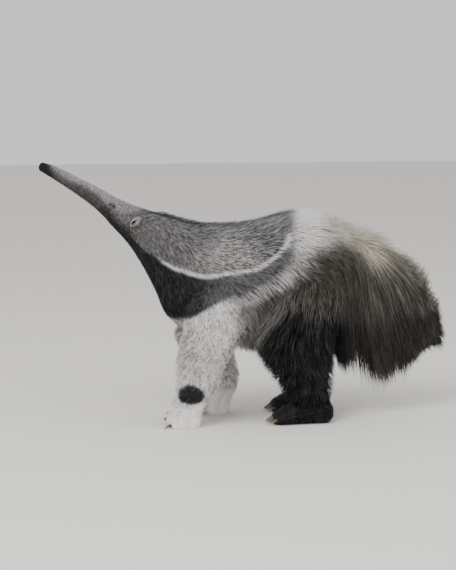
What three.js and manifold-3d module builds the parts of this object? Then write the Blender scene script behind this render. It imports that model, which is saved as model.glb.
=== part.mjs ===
// Giant anteater, life size, standing with its long muzzle raised. Millimetres, +Z up.
// The head points towards -X, the animal's left side is -Y, and the floor is at z = 0.
import * as THREE from "three";
import { mergeVertices } from "three/addons/utils/BufferGeometryUtils.js";
import Module from "manifold-3d";

const wasm = await Module();
wasm.setup();

// Driving dimensions
const gap = 0.3; // kept between pieces that touch
const coreShare = 0.5; // how far a solid core reaches into the long coat
const trunkSides = 16;
const limbSides = 12;
const eyeRadius = 7;
const eyeTurn = 78; // degrees round the head, from its top
const eyeSunk = 0.45; // share of the radius that the ball's middle lies under the skin
const lidTube = 2.6;
const earLength = 23;
const earWidth = 16;
const earDepth = 9;
const earTurn = 98;
const lipRadius = 3.6;
const mouthLine = 1.4;
const mouthReach = 46; // from the nose tip back to the corner of the mouth
const mouthTurn = 112;
const nostril = { radius: 3.2, depth: 7, turn: 38 };
const soleCut = 400; // side of the block that levels the soles
const foreStance = 112; // each forefoot stands this far from the middle
const forefootX = -205; // middle of the left forefoot
const hindStance = 100;
const rightForeStep = 130; // the right forefoot stands this far behind the left one
const rightHindStep = 25;
const tailStart = 368;
const tailReach = 310; // from its start to its end
const tailSwing = 70; // sideways curve of the tail at its end
const hindClaws = { count: 5, length: 38, radius: 6.5, x: 94, z: 20, spread: 62, arch: 40 };
const lockSteps = 4;
const bowShare = 0.84; // where the middle of a lock runs in the coat
const rootDepth = 9; // how far a lock's root is sunk into its core
const lockThickness = 4; // half of it, at the widest place
const overrun = 0.1; // how far past a tube's last section a lock may end

const up = new THREE.Vector3(0, 0, 1);
const across = new THREE.Vector3(0, 1, 0); // towards the animal's right
const sides = { left: -1, right: 1 };
const degrees = Math.PI / 180;

// A section of a tube: an egg-shaped ring in the plane of its two directions. coat is how far
// the long coat reaches [above, beside, below] it.
function ring({ at, centre, upward, side = across, rise, drop, half, square = 2, coat = [0, 0, 0] }) {
  return { at, centre, upward: upward.clone().normalize(), side, rise, drop, half, square, coat };
}

// A trunk section from the outline's top and bottom in the plane y = 0
function trunkSection(at, top, bottom, half, waist, coat, square = 2) {
  const low = new THREE.Vector3(bottom[0], 0, bottom[1]);
  const high = new THREE.Vector3(top[0], 0, top[1]);
  const depth = high.distanceTo(low);
  return ring({
    at,
    centre: low.clone().lerp(high, waist),
    upward: high.clone().sub(low),
    rise: depth * (1 - waist),
    drop: depth * waist,
    half,
    square,
    coat,
  });
}

const bare = [0, 0, 0];
const trunk = [
  trunkSection("nose end", [-677, 868], [-680, 858], 5, 0.5, bare),
  trunkSection("nose pad", [-670, 874], [-677, 849], 12, 0.5, bare),
  trunkSection("nose", [-655, 872], [-664, 841], 16, 0.5, bare),
  trunkSection("muzzle tip", [-616, 858], [-630, 819], 20, 0.5, bare),
  trunkSection("muzzle", [-549, 825], [-573, 780], 24, 0.5, bare),
  trunkSection("muzzle root", [-482, 790], [-513, 736], 29, 0.5, bare),
  trunkSection("eyes", [-429, 759], [-469, 695], 36, 0.52, bare),
  trunkSection("forehead", [-382, 736], [-436, 658], 43, 0.54, bare),
  trunkSection("ears", [-332, 717], [-402, 621], 47, 0.56, bare),
  trunkSection("nape", [-281, 702], [-369, 577], 51, 0.58, bare),
  trunkSection("neck", [-221, 684], [-332, 516], 62, 0.55, bare),
  trunkSection("neck root", [-154, 666], [-295, 441], 80, 0.52, bare),
  trunkSection("brisket", [-87, 655], [-256, 357], 98, 0.5, [10, 0, 0], 2.1),
  trunkSection("withers", [-13, 652], [-171, 300], 110, 0.48, [16, 4, 0], 2.2),
  trunkSection("ribs", [60, 655], [-40, 290], 114, 0.46, [27, 12, 25], 2.2),
  trunkSection("waist", [137, 662], [90, 290], 116, 0.45, [37, 16, 50], 2.2),
  trunkSection("loin", [204, 666], [190, 300], 116, 0.46, [39, 20, 60], 2.2),
  trunkSection("hips", [271, 655], [275, 335], 108, 0.5, [40, 22, 60], 2.1),
  trunkSection("rump", [328, 628], [330, 400], 84, 0.52, [46, 22, 40], 2),
  trunkSection("tail root", [372, 598], [366, 478], 54, 0.52, [58, 24, 30], 2),
];

// A limb section: a level ring that spans the leg from front to rear.
function limbSection(at, z, x, reach, y, half, coat = [0, 0, 0], square = 2.1) {
  return ring({
    at,
    centre: new THREE.Vector3(x, y, z),
    upward: new THREE.Vector3(-1, 0, 0),
    rise: reach,
    drop: reach,
    half,
    square,
    coat,
  });
}

// The left foreleg. step moves its lower part back, as the right leg stands.
function foreleg(side, step) {
  const y = (value) => side * value;
  return [
    limbSection("shoulder top", 560, -95, 40, y(58), 24),
    limbSection("shoulder", 490, -100, 88, y(66), 44),
    limbSection("upper arm", 410, -103, 112, y(76), 54),
    limbSection("elbow", 335, -103, 108, y(86), 58, [2, 2, 16]),
    limbSection("below elbow", 268, -137 + 0.05 * step, 92, y(95), 56, [2, 2, 12]),
    limbSection("forearm", 200, -163 + 0.48 * step, 78, y(102), 54, [2, 2, 8]),
    limbSection("lower forearm", 134, -173 + 0.77 * step, 68, y(107), 50, [2, 2, 6]),
    limbSection("wrist", 98, -190 + 0.96 * step, 60, y(110), 45),
  ];
}

// The fist-like forefoot: its knuckles point forwards and down, its outer edge bears the weight.
function forefoot(side, step) {
  const y = side * foreStance;
  const x = forefootX + step;
  return [
    limbSection("wrist", 98, -190 + 0.96 * step, 60, side * 110, 45),
    limbSection("hand", 64, x, 60, y, 45),
    limbSection("knuckles", 34, x - 12, 60, y, 43),
    limbSection("pads", 10, x - 12, 56, y, 38),
    limbSection("sole", -10, x - 10, 44, y, 28),
  ];
}

function hindleg(side, step) {
  const y = (value) => side * value;
  return [
    limbSection("hip", 570, 215, 60, y(62), 26),
    limbSection("upper thigh", 500, 208, 100, y(72), 46, [10, 14, 10]),
    limbSection("thigh", 420, 198, 118, y(82), 56, [12, 18, 14]),
    limbSection("lower thigh", 340, 182 + 0.3 * step, 112, y(88), 58, [14, 20, 24]),
    limbSection("knee", 265, 172 + 0.6 * step, 92, y(92), 52, [18, 20, 34]),
    limbSection("shank", 195, 184 + 0.8 * step, 72, y(95), 44, [24, 20, 40]),
    limbSection("lower shank", 135, 200 + step, 58, y(98), 38, [26, 18, 38]),
    limbSection("hock", 84, 205 + step, 54, y(100), 36, [16, 10, 24]),
  ];
}

// The hind foot lies flat, from the heel to the toes, so its rings stand upright.
function hindfootSection(at, x, z, rise, drop, y, half) {
  return ring({ at, centre: new THREE.Vector3(x, y, z), upward: up, rise, drop, half, square: 2.3 });
}

function hindfoot(side, step) {
  const y = side * hindStance;
  return [
    hindfootSection("heel end", 288 + step, 36, 22, 26, y, 20),
    hindfootSection("heel", 270 + step, 38, 40, 46, y, 34),
    hindfootSection("ankle", 215 + step, 40, 42, 50, y, 40),
    hindfootSection("instep", 155 + step, 36, 38, 46, y, 44),
    hindfootSection("toes", 108 + step, 26, 24, 34, y, 44),
    hindfootSection("toe ends", 84 + step, 20, 12, 16, y, 34),
  ];
}

// The tail in upright slices. bone is the height of the tail bones, flesh their radius, and
// crown and fall are how far the coat reaches above and below them.
function tailSection(at, x, bone, flesh, crown, fall, coatSide) {
  const share = (x - tailStart) / tailReach;
  return ring({
    at,
    centre: new THREE.Vector3(x, tailSwing * share * share, bone),
    upward: up,
    rise: flesh,
    drop: flesh,
    half: flesh,
    coat: [crown, coatSide, fall],
  });
}

const tail = [
  tailSection("under the rump", 326, 552, 60, 40, 316, 10),
  tailSection("tail root", 372, 540, 54, 58, 324, 22),
  tailSection("tail base", 410, 520, 50, 74, 330, 34),
  tailSection("tail fore", 456, 495, 44, 88, 324, 44),
  tailSection("tail middle", 510, 455, 38, 96, 266, 50),
  tailSection("tail hind", 565, 400, 32, 98, 184, 50),
  tailSection("tail bend", 615, 345, 26, 102, 92, 44),
  tailSection("tail tuft", 650, 305, 20, 90, 44, 32),
  tailSection("tail end", 676, 285, 10, 42, 22, 12),
];

// Catmull-Rom value between b and c
function blend(a, b, c, d, f) {
  const bow = 2 * a - 5 * b + 4 * c - d;
  const turn = 3 * b - a - 3 * c + d;
  return 0.5 * (2 * b + (c - a) * f + bow * f * f + turn * f * f * f);
}

// The ring at place t along a tube, where section i is at t = i. share is how much of the long
// coat it takes in.
function ringAt(tube, t, { grow = 0, share = coreShare } = {}) {
  const last = tube.length - 1;
  const i = Math.min(Math.max(Math.floor(t), 0), last - 1);
  const [a, b, c, d] = [i - 1, i, i + 1, i + 2].map((k) => tube[Math.min(Math.max(k, 0), last)]);
  const f = t - i;
  const value = (read) => blend(read(a), read(b), read(c), read(d), f);
  const vector = (name) => {
    const [x, y, z] = ["x", "y", "z"].map((axis) => value((section) => section[name][axis]));
    return new THREE.Vector3(x, y, z);
  };
  return {
    centre: vector("centre"),
    upward: vector("upward").normalize(),
    side: vector("side").normalize(),
    rise: value((section) => section.rise + share * section.coat[0]) + grow,
    half: value((section) => section.half + share * section.coat[1]) + grow,
    drop: value((section) => section.drop + share * section.coat[2]) + grow,
    square: value((section) => section.square),
  };
}

// A point of a ring. angle is 0 at its top and a quarter turn on its side direction.
function pointOn(r, angle) {
  const cos = Math.cos(angle);
  const sin = Math.sin(angle);
  const power = 2 / r.square;
  const rise = Math.sign(cos) * Math.abs(cos) ** power * (cos > 0 ? r.rise : r.drop);
  const half = Math.sign(sin) * Math.abs(sin) ** power * r.half;
  return r.centre.clone().addScaledVector(r.upward, rise).addScaledVector(r.side, half);
}

// A place of a tube's surface: its point, its outward normal and the way to the next ring
function placeOn(tube, t, angle, share) {
  const step = 0.05;
  const at = (place, turn) => pointOn(ringAt(tube, place, { share }), turn);
  const point = at(t, angle);
  const forward = at(t + step, angle).sub(at(t - step, angle)).normalize();
  const around = at(t, angle + step).sub(at(t, angle - step));
  const outward = new THREE.Vector3().crossVectors(around, forward).normalize();
  if (outward.dot(point.clone().sub(ringAt(tube, t).centre)) < 0) outward.negate();
  return { point, outward, forward };
}

// The place a given distance further along a tube
function further(tube, t, distance) {
  const step = 0.02;
  const pace = ringAt(tube, t + step).centre.distanceTo(ringAt(tube, t - step).centre);
  return t + (distance * 2 * step) / pace;
}

// A closed tube from t = from to t = to, as a cylinder whose rings are moved onto the sections.
// A pointed one is a cone that ends in the middle of its last ring. grow and trim also move
// the ends.
function tubeGeometry(tube, from, to, options = {}) {
  const { sides: around = limbSides, grow = 0, trim = 0, pointed = false } = options;
  const steps = to - from;
  const geometry = pointed
    ? new THREE.ConeGeometry(1, 1, around, steps).rotateX(Math.PI)
    : new THREE.CylinderGeometry(1, 1, 1, around, steps);
  geometry.deleteAttribute("normal");
  geometry.deleteAttribute("uv");
  const place = geometry.getAttribute("position");
  const first = further(tube, from, trim - grow);
  const last = further(tube, to, grow - trim);
  for (let i = 0; i < place.count; i++) {
    const [x, y, z] = [place.getX(i), place.getY(i), place.getZ(i)];
    const along = 0.5 - y;
    const t = along < 0.001 ? first : along > 0.999 ? last : from + steps * along;
    const r = ringAt(tube, t, { grow });
    const p = Math.hypot(x, z) < 1e-6 ? r.centre : pointOn(r, Math.atan2(x, z));
    place.setXYZ(i, p.x, p.y, p.z);
  }
  return geometry;
}

// Manifold solids: every shape is a three.js geometry first
function solid(geometry) {
  const bare = geometry.clone();
  bare.deleteAttribute("normal");
  bare.deleteAttribute("uv");
  const merged = mergeVertices(bare, 1e-3);
  const triVerts = new Uint32Array(merged.index.array);
  const vertProperties = new Float32Array(merged.getAttribute("position").array);
  const made = new wasm.Manifold(new wasm.Mesh({ numProp: 3, vertProperties, triVerts }));
  if (made.volume() > 0) return made;
  for (let i = 0; i < triVerts.length; i += 3)
    [triVerts[i + 1], triVerts[i + 2]] = [triVerts[i + 2], triVerts[i + 1]];
  return new wasm.Manifold(new wasm.Mesh({ numProp: 3, vertProperties, triVerts }));
}

const tubeSolid = (tube, from, to, options) => solid(tubeGeometry(tube, from, to, options));

function fuse(solids) {
  return solids.reduce((whole, made) => whole.add(made));
}

function largest(made) {
  return made.decompose().reduce((a, b) => (b.volume() > a.volume() ? b : a));
}

// A sphere scaled to three radii along its own axes, turned and placed
function ellipsoid(radii, centre, axes, detail) {
  const geometry = new THREE.SphereGeometry(1, ...detail);
  geometry.scale(...radii);
  if (axes) geometry.applyMatrix4(new THREE.Matrix4().makeBasis(...axes));
  geometry.translate(centre.x, centre.y, centre.z);
  return solid(geometry);
}

// Axes for a small form on the surface: across it, along the tube, and outwards
function axesAt({ outward, forward }) {
  const along = forward.clone().addScaledVector(outward, -forward.dot(outward)).normalize();
  return [new THREE.Vector3().crossVectors(along, outward), along, outward.clone()];
}

// Places of the sections by name
const station = Object.fromEntries(trunk.map((section, i) => [section.at, i]));
const tailStation = Object.fromEntries(tail.map((section, i) => [section.at, i]));

// Eyes: a ball that shows a low cap between two thick lids
const eyePlace = (side) => placeOn(trunk, station.eyes + 0.05, side * eyeTurn * degrees);

function eye(side, grow = 0) {
  const { point, outward } = eyePlace(side);
  const radius = eyeRadius + grow;
  const centre = point.addScaledVector(outward, -eyeRadius * eyeSunk);
  return ellipsoid([radius, radius, radius], centre, null, [12, 8]);
}

function lids(side) {
  const here = eyePlace(side);
  const geometry = new THREE.TorusGeometry(eyeRadius + 1.2, lidTube, 5, 10);
  geometry.scale(0.8, 1.25, 1);
  geometry.applyMatrix4(new THREE.Matrix4().makeBasis(...axesAt(here)));
  geometry.translate(here.point.x, here.point.y, here.point.z);
  return solid(geometry);
}

// Ears: small rounded cups that point back and up from the side of the head and open outwards
function ear(side, grow = 0) {
  const { point, outward, forward } = placeOn(trunk, station.ears - 0.2, side * earTurn * degrees);
  const length = outward.clone().multiplyScalar(0.45).addScaledVector(forward, 0.75);
  length.addScaledVector(up, 0.95).normalize();
  const face = outward.clone().addScaledVector(forward, -0.45);
  face.addScaledVector(length, -face.dot(length)).normalize();
  const axes = [new THREE.Vector3().crossVectors(face, length), face, length];
  const middle = point.clone().addScaledVector(length, earLength * 0.55);
  middle.addScaledVector(outward, earDepth * 0.3);
  const hollow = middle.clone().addScaledVector(face, earDepth * 0.62).addScaledVector(length, 1.5);
  const outer = [earWidth, earDepth, earLength].map((radius) => radius + grow);
  const inner = [earWidth * 0.76, earDepth * 0.95, earLength * 0.74];
  const cup = ellipsoid(outer, middle, axes, [14, 8]);
  return grow > 0 ? cup : cup.subtract(ellipsoid(inner, hollow, axes, [14, 8]));
}

// The mouth: a lip ridge round the end of the muzzle, parted by a thin line, and two nostrils
function lipRidge() {
  const corner = station["muzzle tip"] + 0.05;
  const front = station["nose pad"];
  const count = 6;
  const path = Array.from({ length: count + 1 }, (_, i) =>
    pointOn(ringAt(trunk, corner + ((front - corner) * i) / count), mouthTurn * degrees),
  );
  const other = path.map((p) => new THREE.Vector3(p.x, -p.y, p.z)).reverse();
  const curve = new THREE.CatmullRomCurve3([...path, ...other]);
  const steps = 18;
  const sections = curve.getSpacedPoints(steps).map((centre, i, all) => {
    const ahead = all[Math.min(i + 1, steps)].clone().sub(all[Math.max(i - 1, 0)]);
    const side = new THREE.Vector3().crossVectors(up, ahead).normalize();
    const r = lipRadius * Math.min(1, 0.35 + Math.min(i, steps - i) * 0.2);
    return ring({ at: "lip", centre, upward: up, side, rise: r, drop: r, half: r * 0.9 });
  });
  return solid(tubeGeometry(sections, 0, steps, { sides: 6 }));
}

function mouthCut() {
  const tip = ringAt(trunk, station["nose end"]).centre;
  const along = ringAt(trunk, station["muzzle tip"]).centre.sub(tip).normalize();
  const start = pointOn(ringAt(trunk, station["nose pad"]), mouthTurn * degrees).setY(0);
  const geometry = new THREE.BoxGeometry(mouthReach + 10, 80, mouthLine);
  const axes = [along, across, new THREE.Vector3().crossVectors(along, across)];
  geometry.applyMatrix4(new THREE.Matrix4().makeBasis(...axes));
  const middle = start.clone().addScaledVector(along, (mouthReach - 10) / 2);
  geometry.translate(middle.x, middle.y, middle.z);
  const inside = { grow: -3, sides: 8 };
  return solid(geometry).subtract(tubeSolid(trunk, station["nose end"], station.muzzle, inside));
}

function nostrilCut(side) {
  const centre = pointOn(ringAt(trunk, station["nose pad"]), side * nostril.turn * degrees);
  centre.x -= 2;
  return ellipsoid([nostril.depth, nostril.radius, nostril.radius * 0.8], centre, null, [8, 6]);
}

// Claws: curved horn cones. Each follows a circular arc from its toe.
function claw({ root, ahead, bend, length, radius, turn }) {
  const steps = 5;
  const bendTo = bend.clone().addScaledVector(ahead, -bend.dot(ahead)).normalize();
  const side = new THREE.Vector3().crossVectors(ahead, bendTo).normalize();
  const arc = length / turn;
  const sections = Array.from({ length: steps + 1 }, (_, i) => {
    const angle = (turn * i) / steps;
    const centre = root.clone().addScaledVector(ahead, arc * Math.sin(angle));
    centre.addScaledVector(bendTo, arc * (1 - Math.cos(angle)));
    const heading = ahead.clone().multiplyScalar(Math.cos(angle));
    heading.addScaledVector(bendTo, Math.sin(angle));
    const size = radius * (1 - (i / steps) ** 1.6 * 0.9);
    const upward = new THREE.Vector3().crossVectors(side, heading);
    return ring({ at: "claw", centre, upward, side, rise: size, drop: size, half: size * 0.72 });
  });
  return tubeSolid(sections, 0, steps, { sides: 7, pointed: true });
}

// Four fore claws spring from the knuckles. The large ones fold back along the inside of the
// fist. x, y and z place each root from the middle of the foot, inwards and up.
const foreClaws = [
  { name: "1", length: 30, radius: 5, x: -36, y: 27, z: 60, folded: true },
  { name: "2", length: 66, radius: 9, x: -46, y: 24, z: 42, folded: true },
  { name: "3", length: 88, radius: 11, x: -48, y: 18, z: 22, folded: true },
  { name: "4", length: 34, radius: 6, x: -50, y: -18, z: 14, folded: false },
];

function foreClaw(side, step, { length, radius, x, y, z, folded }) {
  const inwards = -side;
  const root = new THREE.Vector3(forefootX + step + x, side * foreStance + inwards * y, z);
  const ahead = folded
    ? new THREE.Vector3(-0.75, inwards * 0.62, -0.05).normalize()
    : new THREE.Vector3(-0.95, -inwards * 0.15, -0.1).normalize();
  const bend = folded ? new THREE.Vector3(1, inwards * 0.1, 0) : new THREE.Vector3(0, 0, -1);
  return claw({ root, ahead, bend, length, radius, turn: folded ? 1.9 : 0.6 });
}

// Five short hind claws point forwards from the toes.
function hindClaw(side, step, i) {
  const { count, length, radius, x, z, spread, arch } = hindClaws;
  const share = i / (count - 1) - 0.5;
  const y = side * hindStance + share * spread;
  const root = new THREE.Vector3(x + step + arch * share * share, y, z);
  const ahead = new THREE.Vector3(-1, share * 0.35, 0.05).normalize();
  return claw({ root, ahead, bend: new THREE.Vector3(0, 0, -1), length, radius, turn: 0.75 });
}

// Everything below the floor is cut away, which leaves a flat on each sole.
function level(made) {
  const block = new THREE.BoxGeometry(4 * soleCut, 4 * soleCut, soleCut);
  block.translate(0, 0, -soleCut / 2);
  return made.subtract(solid(block));
}

// Seeded random numbers between -1 and 1
let seed = 20731;
function vary() {
  seed = (Math.imul(seed, 1664525) + 1013904223) >>> 0;
  return (seed / 2 ** 32) * 2 - 1;
}

// Half-widths of a lock from its root to its tip
const lockTaper = [0.6, 0.95, 1, 0.6, 0.1];

// A flat lock of hair over a tube's surface. It leaves the core at the place "from", follows the
// coat, and ends at the place "to" on the coat's outline.
function lock({ tube, from, to, width, reach, droop }, grow = 0) {
  const root = placeOn(tube, ...from, coreShare);
  const end = placeOn(tube, ...to, reach);
  const between = placeOn(tube, (from[0] + to[0]) / 2, (from[1] + to[1]) / 2, bowShare);
  const start = root.point.clone().addScaledVector(root.outward, -rootDepth);
  const tip = end.point.clone().addScaledVector(up, -droop);
  const bow = between.point.clone().multiplyScalar(2);
  bow.addScaledVector(start, -0.5).addScaledVector(tip, -0.5);
  const curve = new THREE.QuadraticBezierCurve3(start, bow, tip);
  const sections = lockTaper.map((taper, i) => {
    const s = i / lockSteps;
    const heading = curve.getTangent(s);
    const outward = root.outward.clone().lerp(end.outward, s).normalize();
    const side = new THREE.Vector3().crossVectors(heading, outward).normalize();
    const thick = lockThickness * (0.55 + 0.45 * taper);
    return ring({
      at: "lock",
      centre: curve.getPoint(s),
      upward: new THREE.Vector3().crossVectors(side, heading),
      side,
      rise: thick,
      drop: thick,
      half: width * taper,
    });
  });
  return tubeSolid(sections, 0, lockSteps, { sides: 4, pointed: true, grow });
}

// Rows of locks along a tube. Each row starts at an angle, its locks spread from t = first to
// t = last, and each runs "along" further down the tube and "turn" degrees further round it.
function rows(tube, first, last, count, list, side) {
  return list.flatMap(({ angle, along, turn, width, droop = 0 }, row) =>
    Array.from({ length: count }, (_, i) => {
      const spread = (i + 0.5 + (row % 2 ? 0.22 : -0.22) + 0.14 * vary()) / count;
      const t = first + (last - first) * spread;
      const start = angle + 4 * vary();
      const finish = start + turn * (1 + 0.2 * vary());
      const end = t + along * (1 + 0.15 * vary());
      return {
        tube,
        from: [t, side * start * degrees],
        to: [Math.min(end, tube.length - 1 + overrun), side * finish * degrees],
        width: width * (1 + 0.15 * vary()),
        reach: 0.97 + 0.06 * vary(),
        droop: droop * (1 + 0.3 * vary()),
      };
    }),
  );
}

const finishes = {
  muzzle: new THREE.MeshStandardMaterial({ color: "#8f868a", roughness: 0.7 }),
  greyCoat: new THREE.MeshStandardMaterial({ color: "#77767a", roughness: 0.95 }),
  brownCoat: new THREE.MeshStandardMaterial({ color: "#4d473f", roughness: 0.95 }),
  darkCoat: new THREE.MeshStandardMaterial({ color: "#2b2824", roughness: 0.95 }),
  paleCoat: new THREE.MeshStandardMaterial({ color: "#b4aeac", roughness: 0.95 }),
  horn: new THREE.MeshStandardMaterial({ color: "#3a322c", roughness: 0.45 }),
  eye: new THREE.MeshStandardMaterial({ color: "#1a120c", roughness: 0.08 }),
};

// Every piece: its name, finish, core, the core grown by the gap, and the locks on it
const pieces = [];

function addPiece({ name, finish, core, grown, hair = [] }) {
  pieces.push({ name, finish, core, grown, hair });
}

function cutBy(made, cutters) {
  return cutters.reduce((left, cutter) => left.subtract(cutter), made);
}

const trim = gap / 2;

function trunkLength(from, to) {
  const [first, last] = [station[from], station[to]];
  const core = tubeSolid(trunk, first, last, { sides: trunkSides, trim });
  return { core, grown: tubeSolid(trunk, first, last, { sides: trunkSides, grow: gap }) };
}

const wholeTrunk = { sides: trunkSides, grow: gap };
const trunkCutter = tubeSolid(trunk, station.eyes, trunk.length - 1, wholeTrunk);
const limbCutters = [];

function buildHead() {
  const snout = trunkLength("nose end", "muzzle root");
  const openings = [mouthCut(), nostrilCut(-1), nostrilCut(1)];
  const lipped = cutBy(snout.core.add(lipRidge()), openings);
  addPiece({ name: "snout", finish: finishes.muzzle, core: lipped, grown: snout.grown });
  const head = trunkLength("muzzle root", "nape");
  for (const side of Object.values(sides)) {
    head.core = head.core.add(lids(side)).subtract(eye(side, gap));
  }
  addPiece({ name: "head", finish: finishes.greyCoat, ...head });
  for (const [name, side] of Object.entries(sides)) {
    const ball = { core: eye(side), grown: eye(side, gap) };
    addPiece({ name: `eye_${name}`, finish: finishes.eye, ...ball });
    const cup = { core: ear(side).subtract(head.grown), grown: ear(side, gap) };
    addPiece({ name: `ear_${name}`, finish: finishes.greyCoat, ...cup });
  }
}

function bothSides(tube, first, last, count, list) {
  return Object.values(sides).flatMap((side) => rows(tube, first, last, count, list, side));
}

function buildTrunk() {
  addPiece({ name: "neck", finish: finishes.greyCoat, ...trunkLength("nape", "neck root") });
  addPiece({
    name: "chest",
    finish: finishes.greyCoat,
    ...trunkLength("neck root", "ribs"),
    hair: bothSides(trunk, 12.2, 13.9, 3, [{ angle: 10, along: 1.4, turn: 5, width: 19 }]),
  });
  addPiece({
    name: "torso",
    finish: finishes.brownCoat,
    ...trunkLength("ribs", "hips"),
    hair: bothSides(trunk, 13.7, 16.9, 3, [
      { angle: 10, along: 1.7, turn: 8, width: 24 },
      { angle: 32, along: 1.6, turn: 14, width: 26 },
      { angle: 54, along: 1.4, turn: 20, width: 27 },
      { angle: 76, along: 1.2, turn: 26, width: 28 },
      { angle: 98, along: 0.9, turn: 34, width: 28 },
      { angle: 124, along: 0.6, turn: 34, width: 26 },
    ]),
  });
  addPiece({
    name: "rump",
    finish: finishes.darkCoat,
    ...trunkLength("hips", "tail root"),
    hair: bothSides(trunk, 16.8, 18.6, 2, [
      { angle: 12, along: 1.1, turn: 12, width: 24 },
      { angle: 40, along: 1, turn: 26, width: 27 },
      { angle: 70, along: 0.8, turn: 36, width: 28 },
      { angle: 102, along: 0.4, turn: 42, width: 26 },
    ]),
  });
}

function buildForeleg(name, side, step) {
  const leg = foreleg(side, step);
  const foot = forefoot(side, step);
  const fringe = [
    { angle: 140, along: 0.9, turn: 10, width: 15 },
    { angle: 166, along: 1, turn: 6, width: 15 },
  ];
  addPiece({
    name: `upper_arm_${name}`,
    finish: finishes.paleCoat,
    core: tubeSolid(leg, 0, 4, { trim }).subtract(trunkCutter),
    grown: tubeSolid(leg, 0, 4, { grow: gap }),
    hair: rows(leg, 2.7, 3.7, 2, fringe, side),
  });
  addPiece({
    name: `forearm_${name}`,
    finish: finishes.paleCoat,
    core: tubeSolid(leg, 4, 7, { trim }).subtract(trunkCutter),
    grown: tubeSolid(leg, 4, 7, { grow: gap }),
    hair: rows(leg, 4, 5.4, 2, fringe, side),
  });
  const grownFoot = tubeSolid(foot, 0, 4, { grow: gap });
  const sole = level(tubeSolid(foot, 0, 4, { trim }));
  addPiece({ name: `forefoot_${name}`, finish: finishes.paleCoat, core: sole, grown: grownFoot });
  for (const form of foreClaws) {
    const core = level(foreClaw(side, step, form).subtract(grownFoot));
    addPiece({ name: `fore_claw_${name}_${form.name}`, finish: finishes.horn, core, grown: core });
  }
}

function buildHindleg(name, side, step) {
  const leg = hindleg(side, step);
  const foot = hindfoot(side, step);
  const grownFoot = tubeSolid(foot, 0, 5, { grow: gap });
  const outer = [
    { angle: 30, along: 1.7, turn: 3, width: 20 },
    { angle: 62, along: 1.6, turn: 2, width: 22 },
    { angle: 94, along: 1.7, turn: 0, width: 22 },
    { angle: 126, along: 1.6, turn: -2, width: 22 },
    { angle: 160, along: 1.7, turn: -3, width: 22 },
  ];
  const thigh = {
    core: tubeSolid(leg, 0, 4, { trim }).subtract(trunkCutter),
    grown: tubeSolid(leg, 0, 4, { grow: gap }),
  };
  const shank = {
    core: tubeSolid(leg, 4, 7, { trim }).subtract(grownFoot).subtract(trunkCutter),
    grown: tubeSolid(leg, 4, 7, { grow: gap }),
  };
  limbCutters.push(thigh.grown, shank.grown);
  const shaggy = { finish: finishes.darkCoat };
  addPiece({ name: `shank_${name}`, ...shaggy, ...shank, hair: rows(leg, 3.7, 5.6, 2, outer, side) });
  addPiece({ name: `thigh_${name}`, ...shaggy, ...thigh, hair: rows(leg, 1.2, 3.6, 2, outer, side) });
  const sole = level(tubeSolid(foot, 0, 5));
  addPiece({ name: `hindfoot_${name}`, finish: finishes.darkCoat, core: sole, grown: grownFoot });
  for (let i = 0; i < hindClaws.count; i++) {
    const core = level(hindClaw(side, step, i).subtract(grownFoot));
    addPiece({ name: `hind_claw_${name}_${i + 1}`, finish: finishes.horn, core, grown: core });
  }
}

function buildTail() {
  const curtain = [
    { angle: 16, along: 1.5, turn: 12, width: 24 },
    { angle: 52, along: 1, turn: 44, width: 26 },
    { angle: 98, along: 0.3, turn: 58, width: 28, droop: 6 },
    { angle: 142, along: 0.1, turn: 34, width: 28, droop: 12 },
  ];
  const cuts = [
    ["tail_end", "tail hind", "tail end", 2],
    ["tail_middle", "tail fore", "tail hind", 3],
    ["tail_base", "under the rump", "tail fore", 3],
  ];
  for (const [name, from, to, count] of cuts) {
    const [first, last] = [tailStation[from], tailStation[to]];
    const core = tubeSolid(tail, first, last, { trim });
    const grown = tubeSolid(tail, first, last, { grow: gap });
    addPiece({
      name,
      finish: finishes.darkCoat,
      core: cutBy(core, [trunkCutter, ...limbCutters]),
      grown,
      hair: bothSides(tail, first + 0.22, last - 0.08, count, curtain),
    });
  }
}

buildHead();
for (const [name, side] of Object.entries(sides)) {
  buildForeleg(name, side, name === "right" ? rightForeStep : 0);
  buildHindleg(name, side, name === "right" ? rightHindStep : 0);
}
buildTail();
buildTrunk();

const anteater = new THREE.Group();
anteater.name = "giant_anteater";

function boxesMeet(a, b) {
  const [first, second] = [a.boundingBox(), b.boundingBox()];
  return [0, 1, 2].every((k) => first.min[k] <= second.max[k] && second.min[k] <= first.max[k]);
}

// The locks join their core. They keep clear of every other core and of the locks made before.
const hairCutters = [];

function joinHair(piece) {
  if (piece.hair.length === 0) return piece.core;
  const others = pieces.filter((other) => other !== piece).map((other) => other.grown);
  const hair = fuse(piece.hair.map((form) => lock(form)));
  const cutters = [...others, ...hairCutters].filter((cutter) => boxesMeet(hair, cutter));
  hairCutters.push(fuse(piece.hair.map((form) => lock(form, gap))));
  return piece.core.add(cutBy(hair, cutters));
}

for (const piece of pieces) {
  const mesh = largest(joinHair(piece).simplify(0.02)).getMesh();
  const geometry = new THREE.BufferGeometry();
  geometry.setAttribute("position", new THREE.BufferAttribute(mesh.vertProperties, 3));
  geometry.setIndex(new THREE.BufferAttribute(mesh.triVerts, 1));
  geometry.computeVertexNormals();
  const node = new THREE.Mesh(geometry, piece.finish);
  node.name = piece.name;
  anteater.add(node);
}

// The frame's origin is on the floor, under the middle of the animal's box.
const box = new THREE.Box3().setFromObject(anteater);
const middle = box.getCenter(new THREE.Vector3());
anteater.position.set(-middle.x, -middle.y, 0);

export default anteater;
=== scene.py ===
import math

import bmesh
import bpy
import numpy as np
from mathutils import Matrix, Vector
from mathutils.kdtree import KDTree


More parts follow.
